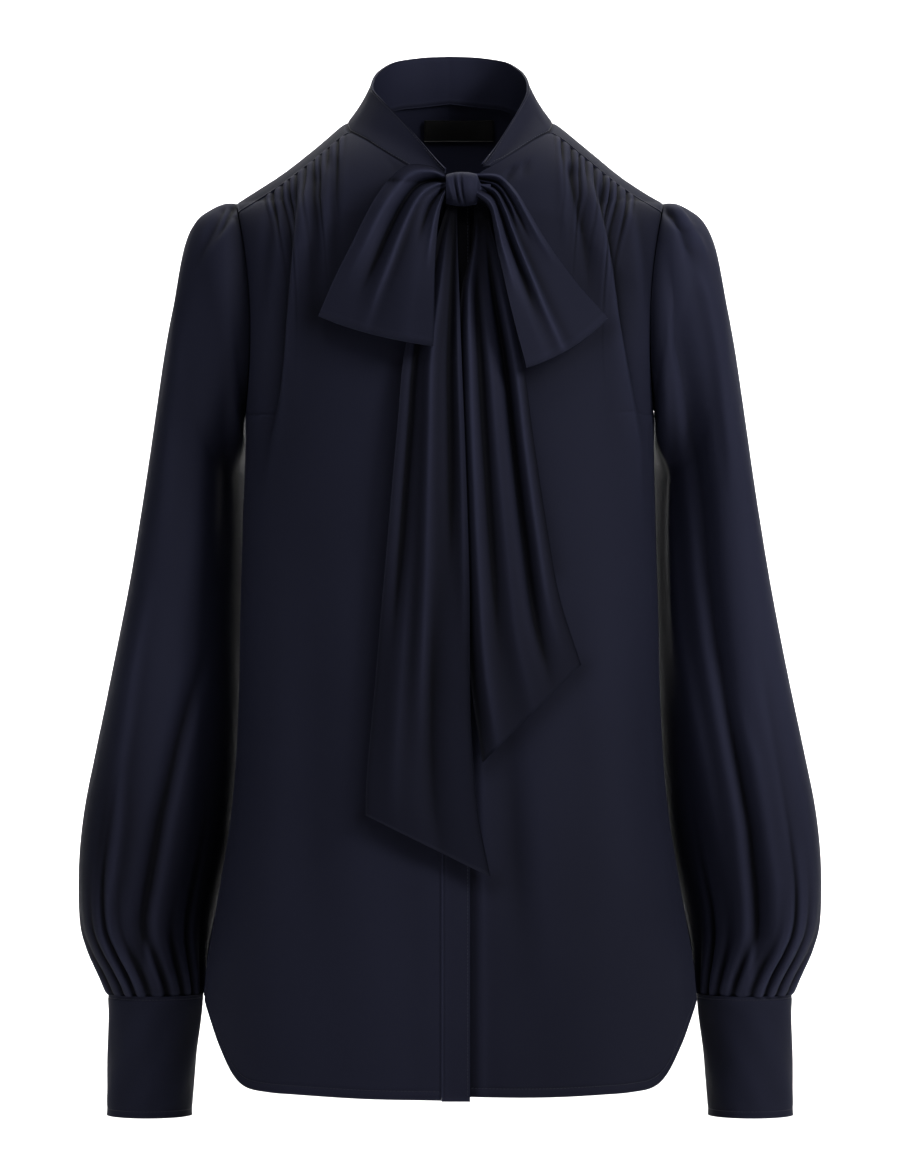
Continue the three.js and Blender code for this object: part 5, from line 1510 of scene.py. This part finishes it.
def label_finish():
    finish = Finish("label_satin")
    place = finish.node("ShaderNodeTexCoord", output="Object")
    ribs = finish.node("ShaderNodeTexWave", {"bands_direction": "X"}, {"Vector": place, "Scale": 900})
    bump = finish.node("ShaderNodeBump", {}, {"Strength": 0.2, "Distance": 0.0001, "Height": ribs})
    surface = finish.node("ShaderNodeBsdfPrincipled", {}, {
        "Base Color": LABEL_BLACK, "Roughness": 0.42 + ribs * 0.1, "Specular IOR Level": 0.4, "Normal": bump,
    })
    finish.node("ShaderNodeOutputMaterial", {}, {"Surface": surface})
    return finish.material


def neck_label():
    x = np.linspace(LABEL_FROM, LABEL_TO, 40)[None, :]
    z = np.linspace(LABEL_TOP, LABEL_LOW, 14)[:, None]
    base = torso(x + 0 * z, z + 0 * x, BACK)
    n = normals_of(base, np.array([0.0, 1, 0]))
    points = base - n * LABEL_INSET
    obj = cloth("neck_label_cloth", points, np.array([0.0, -1, 0]), -LABEL_THICK)
    dress(obj, ["neck_label"], label_finish())


neck_label()

# %% [markdown]
# ## The light
# A catalogue photo of a dark blouse is lit by big soft boxes. The key comes from the
# viewer's right, a weaker one fills the left, and a small one reaches into the neck. The
# pale wall and floor are lit apart. The wall stands well back, clear of a view from behind.

# %% The floor and the light
PALE = (0.85, 0.85, 0.85, 1)
WORLD_LIGHT = 0.1
SWEEP_HALF_WIDTH = 6
SWEEP = table("y z", [
    (-5.0, -0.82),
    (3.4, -0.82),
    (4.3, -0.7),
    (4.85, -0.2),
    (5.0, 0.6),
    (5.0, 4.5),
])
LIGHTS = table("name place target size power", [
    ("key_right", (2.3, -1.9, 1.3), (0, 0, -0.3), (0.8, 1.3), 82),
    ("into_neck", (-0.4, -1.5, 1.5), (0, 0.05, 0), (0.4, 0.4), 8),
    ("fill_left", (-2.4, -2.4, 0.3), (0, 0, -0.35), (1.6, 2.2), 8),
    ("top", (0.2, -0.6, 2.2), (0, 0, -0.2), (1.6, 1.2), 14),
    ("wall_left", (-2.2, 2.9, 1.4), (-0.6, 5.0, -0.2), (1.0, 2.0), 150),
    ("wall_right", (2.2, 2.9, 1.4), (0.6, 5.0, -0.2), (1.0, 2.0), 150),
    ("floor", (0, 2.3, 2.4), (0, 2.4, -0.8), (3.4, 2.2), 150),
])


def pale_finish():
    finish = Finish("pale_stage")
    surface = finish.node("ShaderNodeBsdfPrincipled", {}, {"Base Color": PALE, "Roughness": 0.9})
    finish.node("ShaderNodeOutputMaterial", {}, {"Surface": surface})
    return finish.material


def stage_sheet():
    mesh = bpy.data.meshes.new("studio_sweep")
    verts = [(x, row["y"], row["z"]) for row in SWEEP for x in (-SWEEP_HALF_WIDTH, SWEEP_HALF_WIDTH)]
    faces = [(2 * i, 2 * i + 1, 2 * i + 3, 2 * i + 2) for i in range(len(SWEEP) - 1)]
    mesh.from_pydata(verts, [], faces)
    obj = bpy.data.objects.new("studio_sweep", mesh)
    bpy.context.scene.collection.objects.link(obj)
    obj.data.materials.append(pale_finish())


def soft_box(name, place, target, size, power):
    data = bpy.data.lights.new(name, "AREA")
    data.shape = "RECTANGLE"
    data.size, data.size_y = size
    data.energy = power
    obj = bpy.data.objects.new(name, data)
    bpy.context.scene.collection.objects.link(obj)
    way = np.array(target, float) - np.array(place, float)
    obj.location = place
    flat = math.hypot(way[0], way[1])
    obj.rotation_euler = (math.atan2(flat, -way[2]), 0, math.atan2(way[1], way[0]) - math.pi / 2)


stage_sheet()
for light in LIGHTS:
    soft_box(**light)
world = bpy.data.worlds.new("studio")
bpy.context.scene.world = world
world.use_nodes = True
world.node_tree.nodes["Background"].inputs["Color"].default_value = (1, 1, 1, 1)
world.node_tree.nodes["Background"].inputs["Strength"].default_value = WORLD_LIGHT
